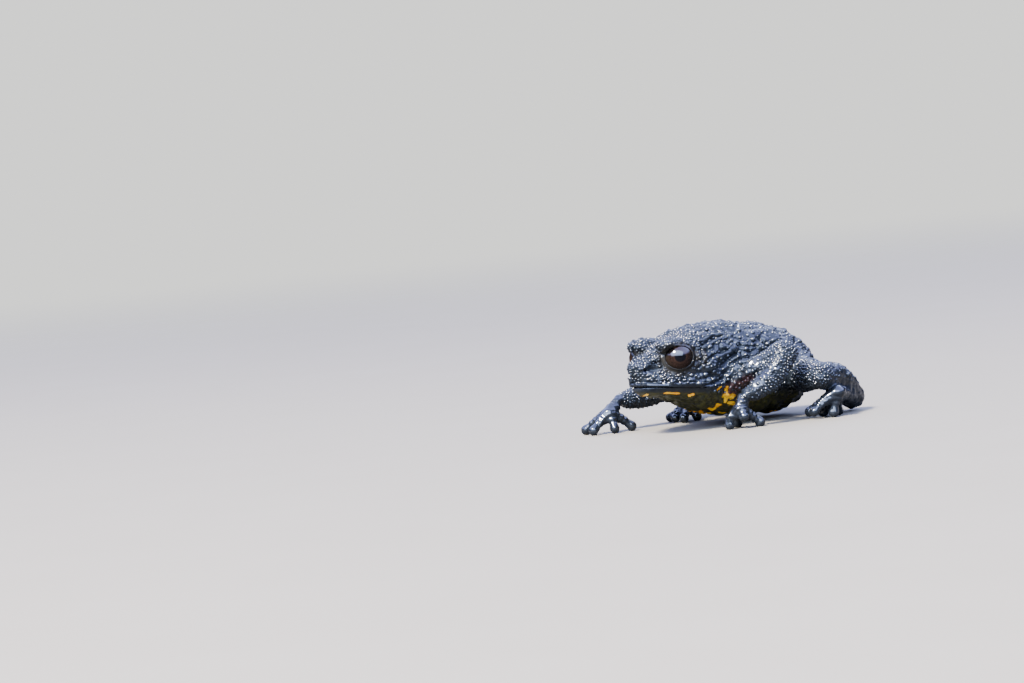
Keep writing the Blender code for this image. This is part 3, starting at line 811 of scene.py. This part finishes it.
def eye_form(side, radius, rings=32):
    """A ball whose front half stands forward as the cornea does, with a map of angles from its axis."""
    bm = bmesh.new()
    turns = [math.pi * i / rings for i in range(2 * rings)]
    rows = []
    for k in range(1, rings):
        reach, height = radius * math.sin(math.pi * k / rings), radius * math.cos(math.pi * k / rings)
        rows.append([bm.verts.new((reach * math.cos(a), reach * math.sin(a), height)) for a in turns])
    front, rear = (bm.verts.new((0, 0, z)) for z in (radius, -radius))
    for i in range(2 * rings):
        bm.faces.new((front, rows[0][i - 1], rows[0][i]))
        bm.faces.new((rear, rows[-1][i], rows[-1][i - 1]))
        for upper, lower in zip(rows, rows[1:]):
            bm.faces.new((upper[i - 1], lower[i - 1], lower[i], upper[i]))
    sight = bm.loops.layers.uv.new("sight")
    for loop in (loop for face in bm.faces for loop in face.loops):
        off = loop.vert.co
        reach = math.acos(max(-1, min(1, off.z / radius))) * radius
        loop[sight].uv = Vector((off.x, off.y)).normalized() * reach
    for vert in bm.verts:
        vert.co.z *= CORNEA_BULGE if vert.co.z > 0 else 1
    bm.transform(toward_sight(side))
    return object_from(bm, "eye_form")


def lid_funnel(side):
    """The cone that opens the lids, squarer above than below."""
    bm = bmesh.new()
    bmesh.ops.create_cone(bm, cap_ends=True, segments=72, radius1=1, radius2=1 + FLARE * FUNNEL_DEPTH,
                          depth=FUNNEL_DEPTH)
    for vert in bm.verts:
        if vert.co.y > 0:
            square = (abs(vert.co.x) ** LID_POWER + vert.co.y ** LID_POWER) ** (1 / LID_POWER)
            vert.co.xy *= math.hypot(vert.co.x, vert.co.y) / square
        vert.co.x *= OPENING_WIDTH
        vert.co.y *= OPENING_RISE if vert.co.y > 0 else OPENING_DROP
        vert.co.z += FUNNEL_START + FUNNEL_DEPTH / 2
    bm.transform(toward_sight(side))
    return object_from(bm, "funnel")


cutters = bpy.data.collections.new("cutters")
for side in (1, -1):
    for cutter in (eye_form(side, EYE_RADIUS + SOCKET_CLEARANCE), lid_funnel(side)):
        cutters.objects.link(cutter)
cut = skin.modifiers.new("sockets", "BOOLEAN")
cut.operation, cut.operand_type, cut.collection, cut.solver = "DIFFERENCE", "COLLECTION", cutters, "MANIFOLD"
plain_mesh(skin)
for cutter in list(cutters.objects):
    bpy.data.objects.remove(cutter)
bpy.data.collections.remove(cutters)

bm = bmesh.new()
bm.from_mesh(skin.data)
bmesh.ops.remove_doubles(bm, verts=bm.verts, dist=0.004)
spots = np.array([v.co for v in bm.verts])
rim = (on_lids(spots) > 0.5) & (from_eyes(spots) > EYE_RADIUS + 0.1)
for _ in range(RIM_ROUNDS):
    bmesh.ops.smooth_vert(bm, verts=[v for v, near in zip(bm.verts, rim) if near], factor=0.5,
                          use_axis_x=True, use_axis_y=True, use_axis_z=True)
bm.to_mesh(skin.data)
bm.free()
print("skin with open lids:", len(skin.data.polygons), "faces")

# %% [markdown]
# Loose skin folds where the head meets the trunk: behind the brow, behind the eye, at the corner of the
# mouth and down the front of the shoulder. Each fold is a line of pixels cast onto the skin, pressed in by
# a soft curve of the distance from the line, with a low swelling on both sides.

# %% Folds behind the brow, the eye, the mouth and along the shoulder
SWELLING = 0.3
# Each fold is its pixels, its depth and its half width
FOLDS = (((701, 344), (708, 341), (716, 336.5), (722, 336), 0.34, 0.15),
         ((700.5, 349), (702, 358), (699.5, 366), 0.16, 0.12),
         ((706, 364), (711, 357), (720, 352), (729, 349), 0.2, 0.14),
         ((719, 368), (727, 361), (736, 353), 0.2, 0.14),
         ((706, 386), (714, 383), (722, 379), 0.2, 0.15),
         ((738, 345), (747, 347), (756, 346), 0.16, 0.14),
         ((747, 361), (741, 366), (735, 373), (729, 383), (726, 391), 0.3, 0.2))

surface = surface_of(skin.data)
points, normals = points_of(skin.data), normals_of(skin.data)
lift = np.zeros(len(points))
for *pixels, depth, width in FOLDS:
    for line in on_both_sides(surface, pixels):
        away = along_limb(points, line)
        lift += SWELLING * depth * bump(away - 2.4 * width, 1.2 * width) - depth * bump(away, width)
set_points(skin.data, points + normals * lift[:, None])
print("folds:", len(FOLDS), "on each side")

# %% [markdown]
# Wet skin is never even: it puckers between the warts, wrinkles finely round the lids and under the throat,
# and creases across each digit. Noise moves the points a few hundredths of a millimetre. On the throat it
# is squeezed in height, so the wrinkles run level there.

# %% Puckers and fine wrinkles
PUCKER, THROAT_WRINKLE, LID_WRINKLE = 0.055, 0.05, 0.035
LID_WAVE = 0.2
DIGIT_FOLD, DIGIT_FOLD_WIDTH, FOLDS_FROM_TIP = 0.06, 0.11, (0.8, 1.25, 1.75)
SKIN_TRIANGLES = 188000


def noise_at(points, *scale):
    return np.array([noise.noise(Vector(p)) for p in points * np.array(scale)])


points, normals = points_of(skin.data), normals_of(skin.data)
throat = under(points) * (1 - ramp(points[:, 1], 9, 11))
lift = PUCKER * warty(points) * (noise_at(points, 1.6, 1.6, 1.6) + 0.6 * noise_at(points, 3.9, 3.9, 3.9))
lift += THROAT_WRINKLE * throat * noise_at(points, 0.8, 0.8, 5.5)
for side in (1, -1):
    for tip in (*FINGERS[side], *TOES[side]):
        from_tip = from_point(points, tip[:3])
        lift -= sum(DIGIT_FOLD * bump(from_tip - place, DIGIT_FOLD_WIDTH) for place in FOLDS_FROM_TIP)
waves = np.sin(math.tau * nearest_oval(points) / LID_WAVE + 3 * noise_at(points, 1.1, 1.1, 1.1))
lift += LID_WRINKLE * on_lids(points) * (from_eyes(points) > EYE_RADIUS + 0.2) * waves
points += normals * lift[:, None]
points[:, 2] = np.maximum(points[:, 2], 0)
set_points(skin.data, points)
thin = skin.modifiers.new("thin", "DECIMATE")
thin.ratio = SKIN_TRIANGLES / sum(len(p.vertices) - 2 for p in skin.data.polygons)
plain_mesh(skin)
print("finished skin:", len(skin.data.polygons), "faces")

# %% [markdown]
# Every wart carries granules, and the brow, the snout, the forearms and knees are paved with them. A
# granule is a low dome with a flared foot, 56 triangles in all. Shape is cheap here, because it is made
# only once.

# %% One granule
GRANULE_PROFILE = ((1.25, -0.45), (1.03, 0.06), (0.85, 0.42), (0.48, 0.68))
GRANULE_TOP, GRANULE_SIDES = 0.75, 8


def granule_mesh():
    bm = bmesh.new()
    turns = [math.tau * i / GRANULE_SIDES for i in range(GRANULE_SIDES)]
    rings = [[bm.verts.new((r * math.cos(a), r * math.sin(a), z)) for a in turns] for r, z in GRANULE_PROFILE]
    top = bm.verts.new((0, 0, GRANULE_TOP))
    for lower, upper in zip(rings, rings[1:]):
        for i in range(GRANULE_SIDES):
            bm.faces.new((lower[i - 1], lower[i], upper[i], upper[i - 1]))
    for i in range(GRANULE_SIDES):
        bm.faces.new((rings[-1][i - 1], rings[-1][i], top))
    made = object_from(bm, "granule")
    patch = made.data.attributes.new("patch", "FLOAT_VECTOR", "POINT")
    for vert in made.data.vertices:
        patch.data[vert.index].vector = (vert.co.x, vert.co.y, 0)
    made.data.shade_smooth()
    return made


granule = granule_mesh()
granule.hide_render = True
GRANULE_POINTS = len(granule.data.vertices)
print("a granule has", GRANULE_POINTS, "points")

# %% [markdown]
# One Geometry Nodes tree scatters the granule over a region of the skin at a least distance, turns it
# outward and gives it a random size. The same tree serves every kind of granule, with its region, spacing
# and sizes as named inputs. Each granule keeps its root, the place that it stands on.

# %% The tree that sets granules on the skin
TREE_INPUTS = {"Skin": "Geometry", "Granule": "Object", "Region": "String", "Spacing": "Float",
               "Smallest": "Float", "Largest": "Float", "Seed": "Int", "Finish": "Material"}


def granule_tree():
    tree = bpy.data.node_groups.new("granules_on_skin", "GeometryNodeTree")
    for name, kind in TREE_INPUTS.items():
        tree.interface.new_socket(name, in_out="INPUT", socket_type="NodeSocket" + kind)
    tree.interface.new_socket("Granules", in_out="OUTPUT", socket_type="NodeSocketGeometry")
    board = Board(tree)
    entry = tree.nodes.new("NodeGroupInput")
    given = {socket.name: Wire(board, socket) for socket in entry.outputs}
    region = board.add("GeometryNodeInputNamedAttribute", {"Name": given["Region"]}, data_type="FLOAT")
    spots = board.add("GeometryNodeDistributePointsOnFaces",
                      {"Mesh": given["Skin"], "Distance Min": given["Spacing"], "Density Factor": region,
                       "Density Max": 9 / given["Spacing"] ** 2, "Seed": given["Seed"]}, "Points",
                      distribute_method="POISSON")
    place = board.add("GeometryNodeInputPosition")
    rooted = board.add("GeometryNodeStoreNamedAttribute", {"Geometry": spots, "Name": "root", "Value": place},
                       data_type="FLOAT_VECTOR", domain="POINT")
    chance = board.add("FunctionNodeRandomValue", {"Seed": given["Seed"]}, 1, data_type="FLOAT")
    size = given["Smallest"] + (given["Largest"] - given["Smallest"]) * chance ** 2
    shape = board.add("GeometryNodeObjectInfo", {"Object": given["Granule"]}, "Geometry")
    placed = board.add("GeometryNodeInstanceOnPoints", {"Points": rooted, "Instance": shape, "Scale": size,
                                                        "Rotation": spots.beside("Rotation")})
    real = board.add("GeometryNodeRealizeInstances", {"Geometry": placed})
    dressed = board.add("GeometryNodeSetMaterial", {"Geometry": real, "Material": given["Finish"]})
    board.feed(tree.nodes.new("NodeGroupOutput").inputs, {"Granules": dressed})
    return tree


GRANULES = granule_tree()
print("inputs of the tree:", list(TREE_INPUTS))

# %% [markdown]
# Each piece's colours are meant to be baked into a picture, so every granule needs its own small patch on a
# map.
# The patches lie where the granules lie on an unwrap of the skin. The unwrap is made on a thinned copy,
# which is quick, and the nearest triangle there gives each granule its place.

# %% An unwrap of the skin for the granules' map
PATCH = 0.0011
UNWRAP_TRIANGLES = 5000


def unwrapped_copy(obj):
    copy = bpy.data.objects.new("unwrap", obj.data.copy())
    bpy.context.scene.collection.objects.link(copy)
    copy.modifiers.new("thin", "DECIMATE").ratio = UNWRAP_TRIANGLES / len(copy.data.polygons)
    plain_mesh(copy)
    bpy.ops.object.select_all(action="DESELECT")
    copy.select_set(True)
    bpy.context.view_layer.objects.active = copy
    bpy.ops.object.mode_set(mode="EDIT")
    bpy.ops.mesh.select_all(action="SELECT")
    bpy.ops.uv.smart_project(angle_limit=math.radians(66), island_margin=0.004)
    bpy.ops.object.mode_set(mode="OBJECT")
    return copy


unwrap = unwrapped_copy(skin)
unwrap_surface = surface_of(unwrap.data)
unwrap_places = [[Vector(unwrap.data.vertices[i].co) for i in p.vertices] for p in unwrap.data.polygons]
unwrap_spots = [[unwrap.data.uv_layers.active.data[i].uv.to_3d() for i in p.loop_indices]
                for p in unwrap.data.polygons]
bpy.data.objects.remove(unwrap)


def bake_map(mesh):
    """Gives each granule its patch at its root's place on the unwrap."""
    roots, patch = (read(mesh.attributes[name].data, "vector") for name in ("root", "patch"))
    spots = []
    for root in roots[::GRANULE_POINTS]:
        place, _, face, _ = unwrap_surface.find_nearest(Vector(root))
        weights = poly_3d_calc(unwrap_places[face], place)
        spots.append(sum((w * spot for w, spot in zip(weights, unwrap_spots[face])), Vector((0, 0, 0))))
    flat = np.repeat(np.array(spots), GRANULE_POINTS, axis=0) + PATCH * patch
    corners = read(mesh.loops, "vertex_index", 1, int).ravel()
    mesh.uv_layers.new(name="OFBake").data.foreach_set("uv", flat[corners, :2].ravel())


print("unwrap of the skin:", len(unwrap_spots), "triangles")

# %% [markdown]
# Colour on this toad is sparse: blue-black above, dark olive-brown on the throat, belly and the skin round
# the eyes, a maroon stretch low on the upper arm, and a few orange and yellow blotches below. Each is
# stored on the mesh as a mask from 0 to 1. Skin and granules are given the same masks, so a blotch runs
# over both.

# %% Where the blotches and the maroon stretch lie
# Each blotch is two pixels of the frame and a half width in millimetres
BLOTCHES = (((638, 394.5), (645, 395.8), 0.15), ((666, 393.2), (678, 393.6), 0.22),
            ((689, 395.5), (693, 394.5), 0.15), ((718, 389.5), (720.5, 387.3), 0.16),
            ((726, 396), (732, 395), 0.38), ((729, 402), (730, 404), 0.2), ((711, 409), (718, 405), 0.34),
            ((719, 412.3), (726, 412.5), 0.12), ((771, 411.5), (776, 411), 0.18),
            ((789, 411), (792, 411.5), 0.16), ((797, 404), (799, 403), 0.14))
MAROON, MAROON_WIDTH = ((731, 391), (741, 386), (749, 381)), 0.75
BELLY_BLOTCHES, BELLY_SPREAD = 15, (3.4, 8.5, 20)
HOLLOW_BEND, BEND_ROUNDS = (-0.03, 0.06), 6

surface = surface_of(skin.data)
blotch_lines = []
for *pixels, width in BLOTCHES:
    near_side, far_side = on_both_sides(surface, pixels)
    if len(near_side) == 2 and all(abs(p.x) < half_width(p.y) + 0.4 for p in near_side):
        blotch_lines += [(near_side, width), (far_side, width)]
chance = random.Random(7)
for _ in range(BELLY_BLOTCHES):
    start = Vector((chance.uniform(-BELLY_SPREAD[0], BELLY_SPREAD[0]), chance.uniform(*BELLY_SPREAD[1:]), 0))
    end = start + Vector((chance.uniform(-1, 1), chance.uniform(-1, 1), 0))
    line = [surface.ray_cast(place, Vector((0, 0, 1)))[0] for place in (start, end)]
    if all(line):
        blotch_lines.append((line, chance.uniform(0.15, 0.45)))
maroon_lines = on_both_sides(surface, MAROON)
print("blotches:", len(blotch_lines))


def in_hollows(mesh):
    """1 in the pits and creases of a skin, 0 on its bumps, from the bend of its edges."""
    points, normals = points_of(mesh), normals_of(mesh)
    ends = read(mesh.edges, "vertices", 2, int)
    a, b = ends.T
    run = points[b] - points[a]
    run /= np.linalg.norm(run, axis=1)[:, None] + 1e-9
    count = np.bincount(ends.ravel(), minlength=len(points)).clip(1)

    def gathered(at_a, at_b):
        return (np.bincount(a, at_a, len(points)) + np.bincount(b, at_b, len(points))) / count

    bend = gathered((run * normals[a]).sum(1), -(run * normals[b]).sum(1))
    for _ in range(BEND_ROUNDS):
        bend = 0.5 * bend + 0.5 * gathered(bend[b], bend[a])
    return ramp(bend, *HOLLOW_BEND)


def store(mesh, masks):
    for name, values in masks.items():
        mesh.attributes.new(name, "FLOAT", "POINT").data.foreach_set("value", values.astype(np.float32))


def mark(mesh, hollow):
    """Stores the masks that the skin's finish reads."""
    points = points_of(mesh)
    blotch = [np.clip(1 - along_limb(points, line) / (2 * width), 0, 1) for line, width in blotch_lines]
    start, end = 0.6 * MAROON_WIDTH, 1.5 * MAROON_WIDTH
    maroon = [1 - ramp(along_limb(points, line), start, end) for line in maroon_lines]
    orbit = (1 - ramp(nearest_oval(points), 0.95, 1.35)) * (from_eyes(points) < 3)
    store(mesh, {"under": under(points), "orbit": orbit, "blotch": np.max(blotch, 0), "hollow": hollow,
                 "maroon": np.max(maroon, 0), "digit": on_digits(points), "lip": on_lips(points)})


# %% [markdown]
# The finish of the skin is black pigment under a film of water. Two glosses are layered for that: a
# broader, uneven one in the skin itself, which gives the blue-grey sheen, and a sharp thin coat, which
# gives each granule its spark. Water runs off what faces down, so the coat is thin there. Bump adds only
# what is too small to model, the grain of about a tenth of a millimetre.

# %% Wet skin
BUMP_HEIGHT = 0.025 * MM


def skin_finish():
    material, board, shader = new_material("wet_black_skin")
    place = board.add("ShaderNodeTexCoord", output="Object")
    mm = board.add("ShaderNodeVectorMath", {0: place, "Scale": 1 / MM}, operation="SCALE")

    def cloud(scale, detail=3.0, roughness=0.6):
        return board.add("ShaderNodeTexNoise", {"Vector": mm, "Scale": scale, "Detail": detail,
                                                "Roughness": roughness})

    def mask(name):
        return board.add("ShaderNodeAttribute", output="Fac", attribute_name=name)

    broad, fine = cloud(0.55), cloud(2.6)
    black = board.blend(broad.step(0.3, 0.7), (0.003, 0.004, 0.006), (0.007, 0.009, 0.013))
    olive = board.blend(fine.step(0.35, 0.65), (0.007, 0.007, 0.0015), (0.028, 0.027, 0.003))
    brown = board.blend(fine.step(0.3, 0.7), (0.005, 0.0045, 0.003), (0.013, 0.010, 0.006))
    maroon = board.blend(fine.step(0.35, 0.65), (0.010, 0.004, 0.004), (0.034, 0.011, 0.010))
    orange = board.blend(broad.step(0.4, 0.6), (0.72, 0.26, 0.001), (0.62, 0.36, 0.001))
    colour = board.blend(mask("under") * (0.55 + 0.9 * broad).below(1), black, olive)
    colour = board.blend(mask("orbit") * 0.9, colour, brown)
    colour = board.blend(mask("maroon") * (0.6 + 0.8 * fine).below(1), colour, maroon)
    spot = (mask("blotch") + 1.1 * (cloud(4.6, 5.0, 0.8) - 0.5)).step(0.44, 0.54)
    colour = board.blend(spot, colour, orange)
    uneven = cloud(1.3, 4.0).step(0.35, 0.65)
    grain = board.add("ShaderNodeTexVoronoi", {"Vector": mm, "Scale": 6.5}, feature="SMOOTH_F1")
    height = (1 - grain) * (1 - 0.6 * mask("digit").above(mask("lip"))) + 0.5 * cloud(9.0, 2.0)
    bumps = board.add("ShaderNodeBump", {"Height": height, "Strength": 0.5, "Distance": BUMP_HEIGHT})
    outward = board.add("ShaderNodeTexCoord", output="Normal")
    facing_up = board.add("ShaderNodeSeparateXYZ", {0: outward}, "Z")
    wet = facing_up.step(-0.25, 0.5) * (1 - 0.6 * mask("under")) * (1 - 0.9 * mask("hollow"))
    wet = wet * (1 - 0.6 * mask("orbit").above(spot))
    board.feed(shader, {"Base Color": colour, "Roughness": 0.54 - 0.28 * wet + 0.14 * uneven, "Normal": bumps,
                        "Coat Weight": 0.05 + 0.95 * wet, "Coat Roughness": 0.12, "Coat IOR": 1.8,
                        "IOR": 1.26, "Specular Tint": (0.62, 0.78, 1.0, 1)})
    return material


WET_SKIN = skin_finish()
print("finish:", WET_SKIN.name, "with", len(WET_SKIN.node_tree.nodes), "nodes")

# %% [markdown]
# The granules go on in three runs. Fine ones pave the brow, the crown, the snout, the forearms and the
# knees. Coarse ones stand on the back, the flanks and the cheeks, and small ones fill the room between.
# Regions end softly: the mask is a chance, so granules thin out towards the lids, the lips and the digits.

# %% Three runs of granules
RUNS = {"granules_fine": dict(Region="fine", Spacing=0.26, Smallest=0.105, Largest=0.18, Seed=3),
        "granules_coarse": dict(Region="coarse", Spacing=0.66, Smallest=0.15, Largest=0.29, Seed=5),
        "granules_small": dict(Region="filler", Spacing=0.4, Smallest=0.08, Largest=0.15, Seed=8)}

points = points_of(skin.data)
grown, fine, limb = warty(points), fine_grained(points), ramp(past_flank(points), 0.2, 0.8)
store(skin.data, {"fine": grown * fine, "coarse": grown * (1 - fine) * (1 - 0.85 * limb),
                  "filler": grown * (1 - fine) * (1 - 0.45 * limb)})


def run_of_granules(name, how):
    holder = bpy.data.objects.new(name, skin.data.copy())
    bpy.context.scene.collection.objects.link(holder)
    modifier = holder.modifiers.new("granules", "NODES")
    modifier.node_group = GRANULES
    wanted = {**how, "Granule": granule, "Finish": WET_SKIN}
    for item in GRANULES.interface.items_tree:
        if item.in_out == "INPUT" and item.name in wanted:
            modifier[item.identifier] = wanted[item.name]
    plain_mesh(holder)
    print(name, len(holder.data.vertices) // GRANULE_POINTS, "granules")
    return holder


runs = [run_of_granules(name, how) for name, how in RUNS.items()]

# %% [markdown]
# The pearls are larger granules set one by one on their seats. Copies of the one granule are gathered in one
# mesh, each turned outward and scaled, because so few need no tree of their own.

# %% Pearls on the cheek and the arm


def granule_at(bm, place, outward, radius):
    """Adds one granule to bm, turned outward."""
    turn = outward.to_track_quat("Z", "Y").to_matrix().to_4x4()
    copy = bmesh.new()
    copy.from_mesh(granule.data)
    copy.transform(Matrix.Translation(place) @ turn @ Matrix.Scale(radius, 4))
    root = copy.verts.layers.float_vector.new("root")
    for vert in copy.verts:
        vert[root] = place
    passing = bpy.data.meshes.new("passing")
    copy.to_mesh(passing)
    copy.free()
    bm.from_mesh(passing)
    bpy.data.meshes.remove(passing)


bm = bmesh.new()
for place, radius in seats:
    granule_at(bm, *surface.find_nearest(place)[:2], radius)
pearls = object_from(bm, "pearls")
pearls.data.materials.append(WET_SKIN)
runs.append(pearls)
print("pearls:", len(pearls.data.vertices) // GRANULE_POINTS)

# %% [markdown]
# The eye is dark: a black pupil a little wider than high, with a small point at its top, in a red-brown
# iris that is lightest below. It is one ball under a clear glossy coat. Its map holds the distance from the
# pupil's middle in millimetres, so rings and spokes are short sums. The bright upper part is only the wide
# soft box, mirrored in the coat.

# %% Eyes
PUPIL_WIDTH, PUPIL_HEIGHT, PUPIL_POINT = 0.57, 0.50, 0.16
IRIS_EDGE, IRIS_FADE, IRIS_RING = 1.36, 0.28, 0.66


def eye_finish():
    material, board, shader = new_material("dark_eye")
    sight = board.add("ShaderNodeUVMap", uv_map="sight")
    x = board.add("ShaderNodeSeparateXYZ", {0: sight})
    y = x.beside("Y")
    reach = (x ** 2 + y ** 2) ** 0.5
    point = PUPIL_POINT * (1 - (x * x) ** 0.5 / PUPIL_POINT).above(0) * y.step(0, 0.3)
    pupil = 1 - ((x / PUPIL_WIDTH) ** 2 + (y / (PUPIL_HEIGHT + point)) ** 2).step(0.92, 1.08)
    angle = board.add("ShaderNodeMath", {0: y, 1: x}, operation="ARCTAN2")
    spoke = board.add("ShaderNodeCombineXYZ", {0: angle * 9, 1: reach * 2.2})
    flecks = board.add("ShaderNodeTexNoise", {"Vector": spoke, "Scale": 1.6, "Detail": 4.0})
    low = (0.5 - 0.35 * y).above(0).below(1)
    iris = board.blend(flecks.step(0.3, 0.75), (0.003, 0.0015, 0.001), (0.014, 0.007, 0.005))
    iris = board.blend(low, iris, (0.004, 0.0028, 0.0024), "SCREEN")
    iris = board.blend(0.7 * (1 - ((reach - IRIS_RING) ** 2).step(0.0, 0.012)), iris, (0.015, 0.008, 0.006))
    rim = reach.step(IRIS_EDGE - IRIS_FADE, IRIS_EDGE)
    colour = board.blend(pupil, board.blend(rim, iris, (0.010, 0.007, 0.005)), (0.002, 0.002, 0.003))
    outward = board.add("ShaderNodeTexCoord", output="Normal")
    facing_up = board.add("ShaderNodeSeparateXYZ", {0: outward}, "Z")
    board.feed(shader, {"Base Color": colour, "Roughness": 0.2 + 0.15 * flecks, "Specular IOR Level": 0.04,
                        "Coat Weight": facing_up.step(0.0, 0.35), "Coat Roughness": 0.02, "Coat IOR": 1.8})
    return material


DARK_EYE = eye_finish()
eyes = []
for side, name in ((1, "eye_left"), (-1, "eye_right")):
    eye = eye_form(side, EYE_RADIUS, rings=40)
    eye.name = name + "_ball"
    eye.data.materials.append(DARK_EYE)
    eyes.append(eye)
print("each eye has", len(eye.data.polygons), "faces")

# %% [markdown]
# Everything so far is in millimetres. The finished meshes are marked, smoothed and carried into the frame,
# each with its object at the origin. The skin between granules and the foot of each granule count as
# hollows, where the film of water is thin. Then each piece is attached to the body it rides on, and the
# nodes of the frame that it replaces are hidden.

# %% Into the frame
BETWEEN_FINE, BETWEEN_COARSE = 0.85, 0.5

foot = ramp(np.linalg.norm(points_of(granule.data)[:, :2], axis=1), 0.85, 1.2)
bpy.data.objects.remove(granule)
skin.data.materials.clear()
skin.data.materials.append(WET_SKIN)
between_granules = BETWEEN_FINE * grown * fine + BETWEEN_COARSE * grown * (1 - fine)
mark(skin.data, np.maximum(in_hollows(skin.data), between_granules))
for run in runs:
    bake_map(run.data)
    mark(run.data, np.tile(foot, len(run.data.vertices) // GRANULE_POINTS))
for piece in (skin, *runs, *eyes):
    piece.data.transform(TO_FRAME)
    piece.data.shade_smooth()
    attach(piece, "root")
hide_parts(*FLESH)
for eye, node in zip(eyes, ("eye_left", "eye_right")):
    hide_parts(node)
print({piece.name: len(piece.data.polygons) for piece in (skin, *runs, *eyes)})

# %% [markdown]
# The stage is a pale floor that fades into a pale room, so no edge of it shows from any side. A small warm
# lamp at the upper left makes the sparks on the granules. A wide blue soft box in front lays the sheen on
# the wet skin and shines in the eyes, and a weak lamp behind lights the rim of the back. Reflections see a
# blue sky above a dark horizon, while the camera sees the plain room.

# %% Lamps
AIM_HEIGHT = 0.005


def softbox(name, level_turn, rise, far, size, colour, radiance):
    """A lamp far metres from the toad, turned right of the camera's direction and raised, in degrees."""
    spin, lift = AZIMUTH + math.radians(level_turn), math.radians(rise)
    flat = Vector((math.sin(spin), -math.cos(spin), 0))
    lamp = bpy.data.lights.new(name, "AREA")
    lamp.shape, lamp.size, lamp.size_y = "RECTANGLE", size[0], size[1]
    lamp.color, lamp.energy = colour, radiance * math.pi * size[0] * size[1]
    holder = bpy.data.objects.new(name, lamp)
    bpy.context.scene.collection.objects.link(holder)
    holder.location = (flat * math.cos(lift) + Vector((0, 0, 1)) * math.sin(lift)) * far
    out = Vector(holder.location) - Vector((0, 0, AIM_HEIGHT))
    holder.rotation_euler = out.to_track_quat("Z", "Y").to_euler()
    holder.visible_camera = False


softbox("key", -37, 49, 0.8, (0.15, 0.15), (1.0, 0.94, 0.84), 620)
softbox("front_sky", -8, 39, 0.95, (1.8, 0.7), (0.56, 0.71, 1.0), 7.2)
softbox("rim", 165, 38, 0.9, (0.6, 0.3), (0.75, 0.88, 1.0), 4)

# %% Room and floor
FLOOR_RADIUS, FADE_START, FADE_END = 0.9, 0.15, 0.7
ROOM, SKY, SHADE = (1.3, 1.3, 1.27), (1.6, 1.9, 3.9), (0.04, 0.04, 0.04)
SKY_EDGE, ZENITH, ZENITH_DIMMING = (0.25, 0.5), (0.75, 1.0), 0.3

room = bpy.data.worlds.new("room")
bpy.context.scene.world = room
room.use_nodes = True
board = Board(room.node_tree)
way = board.add("ShaderNodeTexCoord", output="Generated")
rise = board.add("ShaderNodeSeparateXYZ", {0: way}, "Z")
sky = board.blend(rise.step(*SKY_EDGE) * (1 - ZENITH_DIMMING * rise.step(*ZENITH)), SHADE, SKY)
seen = board.add("ShaderNodeLightPath", output="Is Camera Ray")
board.feed(room.node_tree.nodes["Background"].inputs, {"Color": board.blend(seen, sky, ROOM)})

bm = bmesh.new()
bmesh.ops.create_circle(bm, cap_ends=True, segments=96, radius=FLOOR_RADIUS)
floor = object_from(bm, "floor")
material, board, shader = new_material("pale_floor")
place = board.add("ShaderNodeTexCoord", output="Object")
far = board.add("ShaderNodeVectorMath", {0: place}, "Value", operation="LENGTH")
speck = board.add("ShaderNodeTexNoise", {"Vector": place, "Scale": 60.0, "Detail": 3.0})
board.feed(shader, {"Base Color": board.blend(speck, (0.20, 0.18, 0.145), (0.215, 0.195, 0.16)),
                    "Alpha": 1 - far.step(FADE_START, FADE_END), "Roughness": 0.7})
floor.data.materials.append(material)
print("floor:", 2 * FLOOR_RADIUS, "m across")
